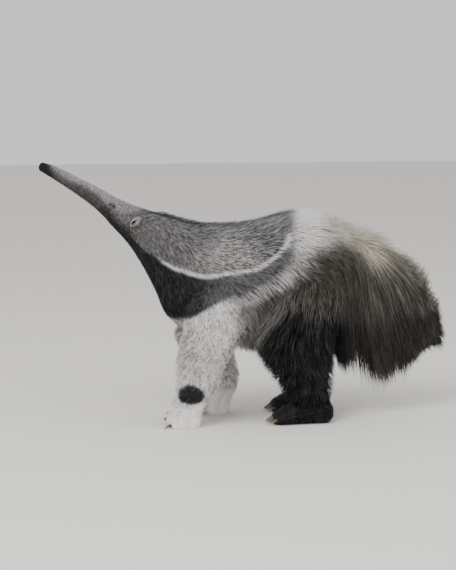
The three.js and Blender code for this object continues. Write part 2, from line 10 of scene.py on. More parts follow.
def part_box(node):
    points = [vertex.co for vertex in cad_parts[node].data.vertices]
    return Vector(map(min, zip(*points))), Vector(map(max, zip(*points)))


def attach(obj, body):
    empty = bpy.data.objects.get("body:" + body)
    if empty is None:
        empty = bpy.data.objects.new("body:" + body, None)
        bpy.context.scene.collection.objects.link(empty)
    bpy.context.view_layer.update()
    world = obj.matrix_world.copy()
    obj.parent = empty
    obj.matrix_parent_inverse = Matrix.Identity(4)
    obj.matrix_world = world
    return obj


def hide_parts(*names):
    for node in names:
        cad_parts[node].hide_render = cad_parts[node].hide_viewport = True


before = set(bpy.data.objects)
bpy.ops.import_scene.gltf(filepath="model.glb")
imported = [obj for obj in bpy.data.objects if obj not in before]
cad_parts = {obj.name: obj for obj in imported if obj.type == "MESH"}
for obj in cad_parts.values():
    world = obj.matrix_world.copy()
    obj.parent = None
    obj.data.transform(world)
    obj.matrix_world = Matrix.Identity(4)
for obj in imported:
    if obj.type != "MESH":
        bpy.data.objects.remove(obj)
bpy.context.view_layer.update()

mm = 0.001
print("frame loaded")


# Sections of the animal, in millimetres. Each trunk section has the outline's top and bottom
# (x, z), its half-width, where its widest height is, the long coat above, beside and below,
# and how square it is.
trunkSections = {
    "noseEnd": ((-677, 868), (-680, 858), 5, 0.5, (0, 0, 0), 2),
    "nosePad": ((-670, 874), (-677, 849), 12, 0.5, (0, 0, 0), 2),
    "nose": ((-655, 872), (-664, 841), 16, 0.5, (0, 0, 0), 2),
    "muzzleTip": ((-616, 858), (-630, 819), 20, 0.5, (0, 0, 0), 2),
    "muzzle": ((-549, 825), (-573, 780), 24, 0.5, (0, 0, 0), 2),
    "muzzleRoot": ((-482, 790), (-513, 736), 29, 0.5, (0, 0, 0), 2),
    "eyes": ((-429, 759), (-469, 695), 36, 0.52, (0, 0, 0), 2),
    "forehead": ((-382, 736), (-436, 658), 43, 0.54, (0, 0, 0), 2),
    "ears": ((-332, 717), (-402, 621), 47, 0.56, (0, 0, 0), 2),
    "nape": ((-281, 702), (-369, 577), 51, 0.58, (0, 0, 0), 2),
    "neck": ((-221, 684), (-332, 516), 62, 0.55, (0, 0, 0), 2),
    "neckRoot": ((-154, 666), (-295, 441), 80, 0.52, (0, 0, 0), 2),
    "brisket": ((-87, 655), (-256, 357), 98, 0.5, (10, 0, 0), 2.1),
    "withers": ((-13, 652), (-171, 300), 110, 0.48, (16, 4, 0), 2.2),
    "ribs": ((60, 655), (-40, 290), 114, 0.46, (27, 12, 45), 2.2),
    "waist": ((137, 662), (90, 290), 116, 0.45, (37, 16, 76), 2.2),
    "loin": ((204, 666), (190, 300), 116, 0.46, (39, 20, 78), 2.2),
    "hips": ((271, 655), (275, 335), 108, 0.5, (40, 22, 60), 2.1),
    "rump": ((328, 628), (330, 400), 84, 0.52, (46, 22, 230), 2),
}
station = {name: i for i, name in enumerate(trunkSections)}

# Limb sections: height, x, reach to front and rear, y, half-width, long coat. The step moves the
# lower leg back.
forelegSections = {
    "shoulderTop": (560, -95, 40, 58, 24, (0, 0, 0), 0),
    "shoulder": (490, -100, 88, 66, 44, (0, 0, 0), 0),
    "upperArm": (410, -103, 112, 76, 54, (0, 0, 0), 0),
    "elbow": (335, -103, 108, 86, 58, (2, 2, 16), 0),
    "belowElbow": (268, -137, 92, 95, 56, (2, 2, 12), 0.05),
    "forearm": (200, -163, 78, 102, 54, (2, 2, 8), 0.48),
    "lowerForearm": (134, -173, 68, 107, 50, (2, 2, 6), 0.77),
    "wrist": (98, -190, 60, 110, 45, (0, 0, 0), 0.96),
    "hand": (64, -205, 60, 112, 45, (0, 0, 0), 1),
    "knuckles": (34, -217, 60, 112, 43, (0, 0, 0), 1),
    "pads": (10, -217, 56, 112, 38, (0, 0, 0), 1),
    "sole": (0, -215, 50, 112, 34, (0, 0, 0), 1),
}
hindlegSections = {
    "hip": (570, 215, 60, 62, 26, (0, 0, 0), 0),
    "upperThigh": (500, 208, 100, 72, 46, (10, 14, 10), 0),
    "thigh": (420, 198, 118, 82, 56, (12, 18, 14), 0),
    "lowerThigh": (340, 182, 112, 88, 58, (44, 20, 24), 0.3),
    "knee": (265, 172, 92, 92, 52, (66, 20, 34), 0.6),
    "shank": (195, 184, 72, 95, 44, (66, 20, 40), 0.8),
    "lowerShank": (135, 200, 58, 98, 38, (50, 20, 38), 1),
    "hock": (84, 205, 54, 100, 36, (34, 14, 26), 1),
    "ankle": (50, 205, 50, 100, 34, (4, 4, 6), 1),
}
# Hind foot: x, z, rise, drop, half-width
hindfootSections = {
    "heelEnd": (288, 36, 22, 26, 20),
    "heel": (270, 38, 40, 38, 34),
    "ankle": (215, 40, 42, 40, 40),
    "instep": (155, 36, 38, 36, 44),
    "toes": (108, 26, 24, 26, 44),
    "toeEnds": (84, 20, 12, 16, 34),
}
# Tail: x, height of its bones, their radius, coat above, below and beside. The tail goes on
# from the trunk, so both are one tube. Only hair reaches past its end, to its tips.
tailSections = {
    "tailRoot": (372, 540, 54, 58, 324, 22),
    "tailBase": (410, 520, 50, 78, 345, 34),
    "tailFore": (456, 495, 44, 98, 348, 44),
    "tailMiddle": (510, 455, 38, 116, 296, 50),
    "tailHind": (565, 400, 32, 130, 222, 50),
    "tailBend": (615, 345, 26, 148, 128, 44),
    "tailTuft": (650, 305, 20, 164, 70, 34),
    "tailEnd": (678, 285, 10, 120, 44, 20),
    "tailTips": (732, 262, 4, 72, 40, 14),
}
tailSkinEnd = len(trunkSections) + len(tailSections) - 2
hindfootAcross = hindlegSections["ankle"][3]
squareness = {"tail": 2, "leg": 2.1, "foot": 2.3}  # 2 gives an ellipse
stance = {"rightForeStep": 130, "rightHindStep": 25, "tailSwing": 70, "tailFrom": 368, "tailLong": 310}
sides = {"Left": -1, "Right": 1}


def tubeOf(rings):
    names = ("centre", "upward", "side", "rise", "drop", "half", "square", "coat")
    return {name: np.array([ring[k] for ring in rings], float) for k, name in enumerate(names)}


def bodyTube():
    rings = []
    for top, bottom, half, waist, coat, square in trunkSections.values():
        low = np.array((bottom[0], 0, bottom[1])) * mm
        high = np.array((top[0], 0, top[1])) * mm
        depth = np.linalg.norm(high - low)
        sizes = (depth * (1 - waist), depth * waist, half * mm, square, np.array(coat) * mm)
        rings.append((low + (high - low) * waist, (high - low) / depth, (0, 1, 0), *sizes))
    for x, bone, flesh, crown, fall, beside in tailSections.values():
        swing = stance["tailSwing"] * ((x - stance["tailFrom"]) / stance["tailLong"]) ** 2
        centre = np.array((x, swing, bone)) * mm
        sizes = (flesh * mm, flesh * mm, flesh * mm, squareness["tail"], np.array((crown, beside, fall)) * mm)
        rings.append((centre, (0, 0, 1), (0, 1, 0), *sizes))
    return tubeOf(rings)


def limbTube(sections, side, step):
    rings = []
    for z, x, reach, y, half, coat, share in sections.values():
        centre = np.array((x + step * share, side * y, z)) * mm
        sizes = (reach * mm, reach * mm, half * mm, squareness["leg"], np.array(coat) * mm)
        rings.append((centre, (-1, 0, 0), (0, 1, 0), *sizes))
    return tubeOf(rings)


def hindfootTube(side, step):
    rings = []
    for x, z, rise, drop, half in hindfootSections.values():
        centre = np.array((x + step, side * hindfootAcross, z)) * mm
        sizes = (rise * mm, drop * mm, half * mm, squareness["foot"], (0, 0, 0))
        rings.append((centre, (0, 0, 1), (0, 1, 0), *sizes))
    return tubeOf(rings)


tubes = {"body": bodyTube()}
for sideName, side in sides.items():
    isRight = sideName == "Right"
    tubes["foreleg" + sideName] = limbTube(forelegSections, side, stance["rightForeStep"] * isRight)
    tubes["hindleg" + sideName] = limbTube(hindlegSections, side, stance["rightHindStep"] * isRight)
    tubes["hindfoot" + sideName] = hindfootTube(side, stance["rightHindStep"] * isRight)


# A tube's values between its sections, where t counts the sections
def ringsAt(tube, t):
    t = np.asarray(t, float)
    last = len(tube["rise"]) - 1
    i = np.clip(np.floor(t), 0, last - 1).astype(int)
    f = t - i
    found = {}
    for name, values in tube.items():
        a, b, c, d = (values[np.clip(i + k, 0, last)] for k in (-1, 0, 1, 2))
        g = f[..., None] if values.ndim == 2 else f
        bow = 2 * a - 5 * b + 4 * c - d
        turn = 3 * b - a - 3 * c + d
        found[name] = 0.5 * (2 * b + (c - a) * g + bow * g ** 2 + turn * g ** 3)
    return found


# A point of a tube's surface. share takes in the long coat, and lift moves it outwards.
def surface(tube, t, angle, share=0.0, lift=0.0):
    r = ringsAt(tube, t)
    share = np.asarray(share, float)
    cos, sin = np.cos(angle), np.sin(angle)
    power = 2 / r["square"]
    tall = np.where(cos > 0, r["rise"] + share * r["coat"][..., 0], r["drop"] + share * r["coat"][..., 2])
    rise = np.sign(cos) * np.abs(cos) ** power * (tall + lift)
    wide = np.sign(sin) * np.abs(sin) ** power * (r["half"] + share * r["coat"][..., 1] + lift)
    return r["centre"] + r["upward"] * rise[..., None] + r["side"] * wide[..., None]


# How the surface runs along the tube and around it
def slopes(tube, t, angle, share=0.0):
    step = 0.01
    along = (surface(tube, t + step, angle, share) - surface(tube, t - step, angle, share)) / (2 * step)
    around = (surface(tube, t, angle + step, share) - surface(tube, t, angle - step, share)) / (2 * step)
    return along, around


def unit(v):
    return v / np.maximum(np.linalg.norm(v, axis=-1, keepdims=True), 1e-9)


def outwardOf(tube, t, angle):
    along, around = slopes(tube, t, angle)
    normal = unit(np.cross(around, along))
    away = surface(tube, t, angle) - ringsAt(tube, t)["centre"]
    return normal * np.sign(np.sum(normal * away, axis=-1, keepdims=True))


# Which points lie inside a tube's skin, tried at closely set rings
def insideTube(tube, points, margin):
    rings, ringReach, least = 160, 0.006, 1e-4
    r = ringsAt(tube, np.linspace(0, len(tube["rise"]) - 1, rings))
    axis = unit(np.cross(r["upward"], r["side"]))
    offset = points[:, None, :] - r["centre"][None]
    along = np.abs(np.sum(offset * axis[None], axis=-1))
    high = np.sum(offset * r["upward"][None], axis=-1)
    wide = np.sum(offset * r["side"][None], axis=-1)
    tall = np.where(high > 0, r["rise"], r["drop"]) + margin
    size = (high / np.maximum(tall, least)) ** 2 + (wide / np.maximum(r["half"] + margin, least)) ** 2
    return np.any((along < ringReach) & (size < 1), axis=1)


# The eye's ball and how deep it sits. at is its place behind the eyes' section, turn its angle from
# the top in degrees, and ringTurn how far its ring lies from its middle in radians.
eyeForm = {"radius": 7, "sunk": 0.45, "deeper": 2.2, "at": 0.05, "turn": 78, "ringTurn": 0.9}


def eyePlace(side):
    t = np.array(station["eyes"] + eyeForm["at"])
    angle = np.array(side * math.radians(eyeForm["turn"]))
    out = outwardOf(tubes["body"], t, angle)
    return surface(tubes["body"], t, angle), out


def eyeCentre(side):
    point, out = eyePlace(side)
    return point - out * (eyeForm["radius"] * eyeForm["sunk"] + eyeForm["deeper"]) * mm


# The left eye's place gives the shift from the sections' frame to the part's frame
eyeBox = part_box("eye_left")
eyePoint, eyeOut = eyePlace(-1)
eyeMiddle = eyePoint - eyeOut * eyeForm["radius"] * eyeForm["sunk"] * mm
shift = np.array([(eyeBox[0][k] + eyeBox[1][k]) / 2 for k in range(3)]) - eyeMiddle
print("frame shift", [round(float(v), 4) for v in shift])
for tube in tubes.values():
    tube["centre"] = tube["centre"] + shift


# Ears: cups that stand on the head. lean is how their length runs outwards, backwards and upwards.
earForm = {
    "long": 23, "wide": 15, "deep": 9, "wall": 1.8, "turn": 98, "ahead": 0.2, "opening": 0.75, "slit": 0.45,
    "lean": (0.45, 0.75, 0.95), "facing": 0.45, "rise": 0.55, "stand": 0.3, "rimFrom": 0.1, "rootDraw": 0.25,
}


# An ear's middle, and the directions of its width, its open face and its length
def earAxes(side):
    t = np.array(station["ears"] - earForm["ahead"])
    angle = np.array(side * math.radians(earForm["turn"]))
    out = outwardOf(tubes["body"], t, angle)
    backward = unit(slopes(tubes["body"], t, angle)[0])
    lean = earForm["lean"]
    length = unit(out * lean[0] + backward * lean[1] + np.array((0, 0, lean[2])))
    face = out - backward * earForm["facing"]
    face = unit(face - length * (face @ length))
    middle = surface(tubes["body"], t, angle) + length * earForm["long"] * earForm["rise"] * mm
    return middle + out * earForm["deep"] * earForm["stand"] * mm, np.cross(face, length), face, length


# Markings of the coat, as curves in the side view (x, z in millimetres). Skin and coat share them.
markings = {
    "whiteLine": [(-643, 838), (-540, 773), (-489, 740), (-460, 710), (-440, 682), (-417, 660), (-391, 642),
                  (-363, 612), (-329, 577), (-287, 550), (-237, 521), (-187, 505), (-143, 500), (-98, 502),
                  (-34, 510), (25, 523), (70, 545), (104, 569), (129, 597), (142, 634)],
    "blackLow": [(-257, 352), (-193, 363), (-137, 395), (-98, 418), (-36, 443), (26, 463), (87, 498),
                 (131, 538), (152, 590), (160, 637)],
    "paleStripe": [(-182, 349), (-127, 363), (-80, 387), (-22, 413), (43, 438), (109, 471), (158, 520),
                   (181, 570), (195, 619), (207, 665)],
    "cape": [(171, 587), (239, 598), (308, 601), (364, 577), (415, 527), (467, 502), (521, 482), (583, 462),
             (644, 416)],
    "hindTop": [(19, 245), (50, 270), (85, 335), (128, 388), (183, 362), (241, 342), (294, 352)],
    "face": [(-520, 640), (-478, 735), (-405, 707), (-345, 704)],
    "lineHalf": 5.8,
    "stripeHalf": 21,
    "stripeWider": 29,
    "dorsalHalf": 18,
    "dorsalWider": 5,
    "wristPatch": {"x": -193, "z": 113, "long": 44, "tall": 30},
    "shoulder": {"x": -50, "z": 560, "long": 120, "tall": 62},
}

# Fades between the markings: where each one is 0, and where it is 1, in millimetres. Those that
# end in Edge are taken across a marking; the line's, stripe's, dorsal line's and wrist's are shares
# of its half-width.
fades = {
    "snout": (-425, -470), "underLineEdge": (4, -4), "overLowEdge": (-6, 6), "bandRear": (170, 150),
    "bandTop": (655, 625), "bandFore": (0, -60), "bandSheenPaler": (-190, -40), "bandSheenBright": (-200, -60),
    "lineEdge": (1.6, 0.6), "lineFore": (-305, -265), "stripeEdge": (1.35, 0.6), "stripeHigh": (540, 650),
    "underLowEdge": (8, -8), "frontRear": (70, 0), "frontTop": (440, 400), "armFore": (-75, -10),
    "armTop": (430, 390), "armLow": (180, 230), "wristEdge": (1.25, 0.75), "outerSide": (92, 106),
    "footTop": (96, 76), "footRear": (20, -20), "hindEdge": (30, -30), "hindFore": (0, 30),
    "hindRear": (320, 380), "dorsalWiden": (-330, -60), "dorsalEdge": (1.35, 0.65),
    "dorsalFore": (-360, -300), "dorsalRear": (210, 120), "nose": (-634, -656), "flankEdge": (5, 80),
    "flankFore": (-70, 60), "flankPaler": (200, 60), "capeEdge": (-42, 48), "capeFore": (150, 190),
    "capeWhite": (360, 240), "tail": (330, 390), "streakEdge": (0.3, 1.5), "faceEdge": (-8, 12),
    "faceRear": (-335, -362), "eyeEdge": (24, 8), "jawEdge": (42, 4), "jawRear": (-350, -395),
    "strawFore": (230, 330), "strawRear": (410, 540), "bellyLightTop": (400, 340), "tailDark": (480, 620),
    "muzzleTip": (-600, -652), "neckDark": (-100, -220),
}
# How far an uneven edge wanders, in millimetres, and in shares of its size for the wrist
ragged = {
    "band": 3, "snout": 9, "line": 1.5, "stripe": 3, "wrist": 0.34, "hind": 8, "dorsal": 4, "flank": 9,
    "cape": 8,
}
# How strongly a marking takes its colour, or gives way to another
strength = {
    "stripe": 0.62, "stripeHigh": 0.28, "behindArm": 0.95, "shoulder": 0.85, "cape": 0.9, "bandSheenPaler": 0.35,
    "bandSnout": 0.45, "spine": 0.8, "stripeOver": 0.95, "hindTail": 0.35, "flankPaler": 0.3,
    # jaw and jawOver give the brown under the muzzle, partly the dark mouth and partly painted shade
    "strawRear": 0.85, "streaks": 0.35, "jaw": 0.95, "eye": 0.7, "jawOver": 0.85, "eyeOver": 0.6,
}
# How much paler or darker each marking makes its hair
brightening = {
    # the band's entry is a painted sheen on the black band, brighter towards its rear
    "line": 0.95, "foot": 0.4, "front": 0.36, "band": 0.4, "hind": -0.44, "wrist": -0.42, "cape": 0.44,
    # the low flank's entry is painted light, lifting the shade under the body
    "stripe": 0.56, "nose": -0.5, "bellyPaintedLight": 0.22, "eye": -0.26, "tail": -0.2, "muzzleTip": -0.28,
    "neck": -0.12, "patches": 0.06,
}


def smoothStep(low, high, value):
    f = np.clip((value - low) / (high - low), 0, 1)
    return f * f * (3 - 2 * f)


def fade(name, value):
    return smoothStep(*fades[name], value)


def curveDistance(curve, x, z):
    best = np.full(x.shape, 1e9)
    for (x0, z0), (x1, z1) in zip(curve[:-1], curve[1:]):
        dx, dz = x1 - x0, z1 - z0
        f = np.clip(((x - x0) * dx + (z - z0) * dz) / (dx * dx + dz * dz), 0, 1)
        best = np.minimum(best, np.hypot(x - x0 - f * dx, z - z0 - f * dz))
    return best


# Smooth wandering values around 0, the same for the same place. scale is their size in millimetres.
def wander(points, scale, seed):
    rng = np.random.default_rng(seed)
    total = np.zeros(len(points))
    for _ in range(5):
        wave = rng.normal(size=3) / (scale * mm)
        total += np.sin(points @ wave + rng.uniform(0, 6.28))
    return total / 2.2


# Height above a marking's curve, which goes on level, at left and right, past its ends
def heightOver(name, x, z, left=-900.0, right=-900.0):
    curve = np.array(markings[name], float)
    return z - np.interp(x, curve[:, 0], curve[:, 1], left=left, right=right)


# The black band from the throat to behind the shoulder, the white line above it and the stripe behind
def neckMasks(x, z, jitter, onSnout, overLine, overLow):
    band = fade("underLineEdge", overLine / (1 + 2.5 * onSnout)) * fade("overLowEdge", overLow)
    band = band * fade("bandRear", x) * np.maximum(fade("bandTop", z), fade("bandFore", x))
    fromLine = curveDistance(markings["whiteLine"], x, z + ragged["line"] * jitter)
    line = fade("lineEdge", fromLine / markings["lineHalf"]) * fade("lineFore", x)
    high = fade("stripeHigh", z)
    fromStripe = curveDistance(markings["paleStripe"], x, z) + ragged["stripe"] * jitter
    stripe = fade("stripeEdge", fromStripe / (markings["stripeHalf"] + markings["stripeWider"] * high))
    return band, line, stripe, high


# The pale foreleg, the shade behind it, the patch at the wrist, the foot and the black hind leg
def legMasks(x, y, z, jitter, overLow):
    front = fade("underLowEdge", overLow) * fade("frontRear", x) * fade("frontTop", z)
    behindArm = fade("armFore", x) * fade("armTop", z) * fade("armLow", z)
    patch = markings["wristPatch"]
    along = (x - patch["x"] - stance["rightForeStep"] * (y > 0)) / patch["long"]
    upward = (z + ragged["band"] * jitter - patch["z"]) / patch["tall"]
    patchSize = np.abs(along) ** 2.2 + np.abs(upward) ** 2.2
    wrist = fade("wristEdge", patchSize + ragged["wrist"] * jitter) * fade("outerSide", np.abs(y))
    foot = fade("footTop", z) * fade("footRear", x)
    hind = fade("hindEdge", heightOver("hindTop", x, z + ragged["hind"] * jitter, right=352))
    hind = hind * fade("hindFore", x) * (1 - strength["hindTail"] * fade("hindRear", x))
    return front, behindArm, wrist, foot, hind


# The brown flank, the pale cape on the back, the tail's streaks and the dark line along the back
def backMasks(points, x, y, z, jitter, patches):
    stripeCurve = np.array(markings["paleStripe"], float)
    behindStripe = x - np.interp(z, stripeCurve[:, 1], stripeCurve[:, 0])
    flank = fade("flankEdge", behindStripe + ragged["flank"] * jitter)
    flank = flank * fade("flankFore", x) * (1 - strength["flankPaler"] * fade("flankPaler", x))
    capeHeight = heightOver("cape", x, z + ragged["cape"] * (jitter + patches), left=587, right=380)
    cape = fade("capeEdge", capeHeight) * fade("capeFore", x)
    streaks = fade("tail", x) * fade("streakEdge", wander(points * (1, 1, 0.22), 6, 9))
    dorsalHalf = markings["dorsalHalf"] + markings["dorsalWider"] * fade("dorsalWiden", x)
    spine = fade("dorsalEdge", (np.abs(y) + ragged["dorsal"] * jitter) / dorsalHalf) * (z > 600)
    spine = spine * fade("dorsalFore", x) * fade("dorsalRear", x)
    return flank, cape, streaks, spine


# The black nose, the mauve face, the shade around the eyes and the brown under the muzzle, which is partly
# the dark mouth and partly painted shade on the snout's underside
def headMasks(points, x, z, overLine):
    nose = fade("nose", x + 0.35 * (z - 858))
    face = fade("faceEdge", heightOver("face", x, z)) * fade("faceRear", x)
    toEyes = [np.linalg.norm(points - eyePlace(side)[0], axis=1) / mm for side in sides.values()]
    nearEye = fade("eyeEdge", np.minimum(*toEyes))
    # partly painted shade, partly the dark mouth: the lower side of the snout is turned brown
    jaw = fade("jawEdge", overLine) * fade("jawRear", x)
    return nose, face, nearEye, jaw


# Masks for points in the part's frame: from 0 to 1, and "bright" adds to how pale the hair is
def coatMasks(points):
    x, y, z = ((points - shift) / mm).T
    jitter, patches = wander(points, 26, 5), wander(points, 75, 12)
    onSnout = fade("snout", x)
    height = z + ragged["band"] * jitter
    overLine = heightOver("whiteLine", x, height - ragged["snout"] * onSnout, left=850, right=-900)
    overLow = heightOver("blackLow", x, height, left=300, right=900)
    band, line, stripe, high = neckMasks(x, z, jitter, onSnout, overLine, overLow)
    front, behindArm, wrist, foot, hind = legMasks(x, y, z, jitter, overLow)
    flank, cape, streaks, spine = backMasks(points, x, y, z, jitter, patches)
    nose, face, nearEye, jaw = headMasks(points, x, z, overLine)
    spot = markings["shoulder"]
    shoulder = np.exp(-((x - spot["x"]) / spot["long"]) ** 2 - ((z - spot["z"]) / spot["tall"]) ** 2)
    white = np.maximum.reduce([
        line,
        (strength["stripe"] + strength["stripeHigh"] * high) * stripe,
        front * (1 - strength["behindArm"] * behindArm),
        strength["shoulder"] * shoulder,
        strength["cape"] * cape * fade("capeWhite", x),
    ])
    # painted sheen: the black band is made paler towards its rear, and it is paler on the snout as well
    wearAndSheen = strength["bandSheenPaler"] * fade("bandSheenPaler", x) + strength["bandSnout"] * onSnout
    black = np.maximum.reduce([band * (1 - line) * (1 - wearAndSheen), strength["spine"] * spine, nose])
    black = np.maximum.reduce([black * (1 - strength["stripeOver"] * stripe), wrist, hind])
    strawCape = cape * fade("strawFore", x) * (1 - strength["strawRear"] * fade("strawRear", x))
    markingsThere = {
        # the band's share here is a painted sheen, brighter towards the band's rear
        "line": line, "foot": foot, "front": front, "band": band * fade("bandSheenBright", x), "hind": hind,
        "wrist": wrist, "cape": cape, "stripe": stripe * high, "nose": nose,
        # painted light: the low brown flank is made paler, lifting the shade under the body
        "bellyPaintedLight": flank * fade("bellyLightTop", z) * (1 - hind), "eye": nearEye, "tail": fade("tailDark", x),
        "muzzleTip": fade("muzzleTip", x), "neck": fade("neckDark", x) * (1 - face),
        "patches": patches * (1 - hind) * (x > -330),
    }
    return {
        "black": black,
        "white": white * (1 - wrist) * (1 - hind),
        # the brown under the muzzle is partly painted shade on the snout's underside
        "brown": np.maximum.reduce([flank, strength["jaw"] * jaw, strength["eye"] * nearEye]),
        "straw": np.maximum(strawCape, strength["streaks"] * streaks),
        "mauve": face * (1 - np.maximum(strength["jawOver"] * jaw, strength["eyeOver"] * nearEye)),
        "bright": sum(weight * markingsThere[name] for name, weight in brightening.items()),
    }


maskNames = ("black", "white", "brown", "straw", "mauve", "bright")


# Colours of the coat, as seen in daylight (sRGB, 0 to 255)
coatColours = {
    "grey": (84, 83, 83),
    "greyTip": (176, 174, 175),
    "black": (16, 15, 15),
    "blackTip": (84, 82, 86),
    "white": (116, 113, 112),
    "whiteTip": (250, 248, 246),
    "brown": (33, 32, 30),
    "brownTip": (106, 103, 95),
    "straw": (94, 90, 81),
    "strawTip": (222, 214, 198),
    "mauve": (126, 121, 127),
    "mauveTip": (196, 190, 199),
}


def colour(rgb):
    linear = [((c / 255 + 0.055) / 1.055) ** 2.4 if c > 10 else c / 255 / 12.92 for c in rgb]
    return (*linear, 1)


def groupSockets(group, inputs, outputs):
    for kind, wanted in (("INPUT", inputs), ("OUTPUT", outputs)):
        for name, socketType, value in wanted:
            made = group.interface.new_socket(name=name, in_out=kind, socket_type=socketType)
            if value is not None:
                made.default_value = value


def addNode(tree, kind, place, **settings):
    node = tree.nodes.new(kind)
    node.location = place
    for name, value in settings.items():
        setattr(node, name, value)
    return node


# Links a socket to another one, or gives it a plain value
def feed(tree, socket, value):
    if isinstance(value, bpy.types.NodeSocket):
        tree.links.new(value, socket)
    else:
        socket.default_value = value


def mixColours(tree, place, factor, first, second):
    node = addNode(tree, "ShaderNodeMix", place, data_type="RGBA")
    for k, value in ((0, factor), (6, first), (7, second)):
        feed(tree, node.inputs[k], value)
    return node.outputs[2]


def mathNode(tree, place, operation, first, second, clamp=False):
    node = addNode(tree, "ShaderNodeMath", place, operation=operation, use_clamp=clamp)
    feed(tree, node.inputs[0], first)
    feed(tree, node.inputs[1], second)
    return node.outputs[0]


def attributeValue(tree, place, name):
    return addNode(tree, "ShaderNodeAttribute", place, attribute_name=name).outputs["Fac"]


def objectNoise(tree, place, scale, detail):
    coordinates = addNode(tree, "ShaderNodeTexCoord", (place[0] - 200, place[1]))
    noise = addNode(tree, "ShaderNodeTexNoise", place)
    noise.inputs["Scale"].default_value = scale
    noise.inputs["Detail"].default_value = detail
    tree.links.new(coordinates.outputs["Object"], noise.inputs["Vector"])
    return noise.outputs["Fac"]


# The coat's colour from the masks: each tone runs from a base colour at the root to a paler tip
def coatColourGroup():
    group = bpy.data.node_groups.new("coat colour", "ShaderNodeTree")
    tones = ("grey", "brown", "straw", "mauve", "white", "black")
    inputs = []
    for tone in tones:
        inputs.append((tone, "NodeSocketColor", colour(coatColours[tone])))
        inputs.append((tone + " tip", "NodeSocketColor", colour(coatColours[tone + "Tip"])))
    inputs.append(("tipping", "NodeSocketFloat", 1.0))
    inputs.append(("speckle", "NodeSocketFloat", 0.5))
    groupSockets(group, inputs, [("Color", "NodeSocketColor", None)])
    given = addNode(group, "NodeGroupInput", (-900, 0))
    attribute = {}
    for k, name in enumerate((*maskNames, "shade", "tip")):
        attribute[name] = attributeValue(group, (-900, -300 - 170 * k), name)
    noise = objectNoise(group, (-1200, 200), 150, 2)
    speck = mathNode(group, (-1000, 250), "SUBTRACT", noise, 0.5)
    speck = mathNode(group, (-820, 250), "MULTIPLY", speck, given.outputs["speckle"])
    paleness = mathNode(group, (-640, 200), "MULTIPLY", attribute["tip"], given.outputs["tipping"])
    varied = mathNode(group, (-640, 60), "SUBTRACT", attribute["shade"], 0.5)
    paleness = mathNode(group, (-460, 200), "ADD", paleness, varied)
    paleness = mathNode(group, (-280, 200), "ADD", paleness, speck)
    paleness = mathNode(group, (-280, 40), "ADD", paleness, attribute["bright"], clamp=True)
    for k, tone in enumerate(tones):
        root, tip = given.outputs[tone], given.outputs[tone + " tip"]
        here = mixColours(group, (-100, -260 * k), paleness, root, tip)
        place = (140 + 180 * k, -260 * k)
        mixed = here if k == 0 else mixColours(group, place, attribute[tone], mixed, here)
    end = addNode(group, "NodeGroupOutput", (1500, 0))
    group.links.new(mixed, end.inputs["Color"])
    return group


# Short hair and skin grain as a bump height
def furGrainGroup():
    group = bpy.data.node_groups.new("fur grain", "ShaderNodeTree")
    inputs = [("scale", "NodeSocketFloat", 260.0), ("stretch", "NodeSocketFloat", 0.25)]
    groupSockets(group, inputs, [("Height", "NodeSocketFloat", None)])
    given = addNode(group, "NodeGroupInput", (-900, 0))
    place = addNode(group, "ShaderNodeTexCoord", (-900, 200))
    # hairs run back and down from the nose, so the pattern is stretched along that way
    mapping = addNode(group, "ShaderNodeMapping", (-700, 200))
    mapping.inputs["Rotation"].default_value = (0, math.radians(-28), 0)
    squeeze = addNode(group, "ShaderNodeCombineXYZ", (-700, -100))
    group.links.new(given.outputs["stretch"], squeeze.inputs[0])
    squeeze.inputs[1].default_value = 1
    squeeze.inputs[2].default_value = 1
    group.links.new(squeeze.outputs[0], mapping.inputs["Scale"])
    group.links.new(place.outputs["Object"], mapping.inputs["Vector"])
    noise = addNode(group, "ShaderNodeTexNoise", (-450, 200))
    noise.inputs["Detail"].default_value = 3
    group.links.new(mapping.outputs[0], noise.inputs["Vector"])
    group.links.new(given.outputs["scale"], noise.inputs["Scale"])
    end = addNode(group, "NodeGroupOutput", (200, 0))
    group.links.new(noise.outputs["Fac"], end.inputs["Height"])
    return group


groups = {"colour": coatColourGroup(), "grain": furGrainGroup()}


def newMaterial(name, roughness, specular):
    material = bpy.data.materials.new(name)
    material.use_nodes = True
    shader = material.node_tree.nodes["Principled BSDF"]
    shader.inputs["Roughness"].default_value = roughness
    shader.inputs["Specular IOR Level"].default_value = specular
    return material, shader


def placeGroup(material, group, place, **values):
    node = addNode(material.node_tree, "ShaderNodeGroup", place, node_tree=group)
    for name, value in values.items():
        node.inputs[name].default_value = value
    return node


def addBump(tree, shader, height, distance):
    bump = addNode(tree, "ShaderNodeBump", (-300, -250))
    bump.inputs["Distance"].default_value = distance
    tree.links.new(height, bump.inputs["Height"])
    tree.links.new(bump.outputs[0], shader.inputs["Normal"])
    return bump


# Colours a material by a value, from two or more stops of a place and a colour
def paintAlong(tree, shader, value, stops):
    ramp = addNode(tree, "ShaderNodeValToRGB", (-300, 100))
    elements = ramp.color_ramp.elements
    for element, (place, rgb) in zip(elements, (stops[0], stops[-1])):
        element.position = place
        element.color = colour(rgb)
    for place, rgb in stops[1:-1]:
        elements.new(place).color = colour(rgb)
    tree.links.new(value, ramp.inputs["Fac"])
    tree.links.new(ramp.outputs["Color"], shader.inputs["Base Color"])


def coatMaterial():
    material, shader = newMaterial("coat", 0.62, 0.22)
    tone = placeGroup(material, groups["colour"], (-400, 200), tipping=0.75, speckle=1.15)
    material.node_tree.links.new(tone.outputs["Color"], shader.inputs["Base Color"])
    return material


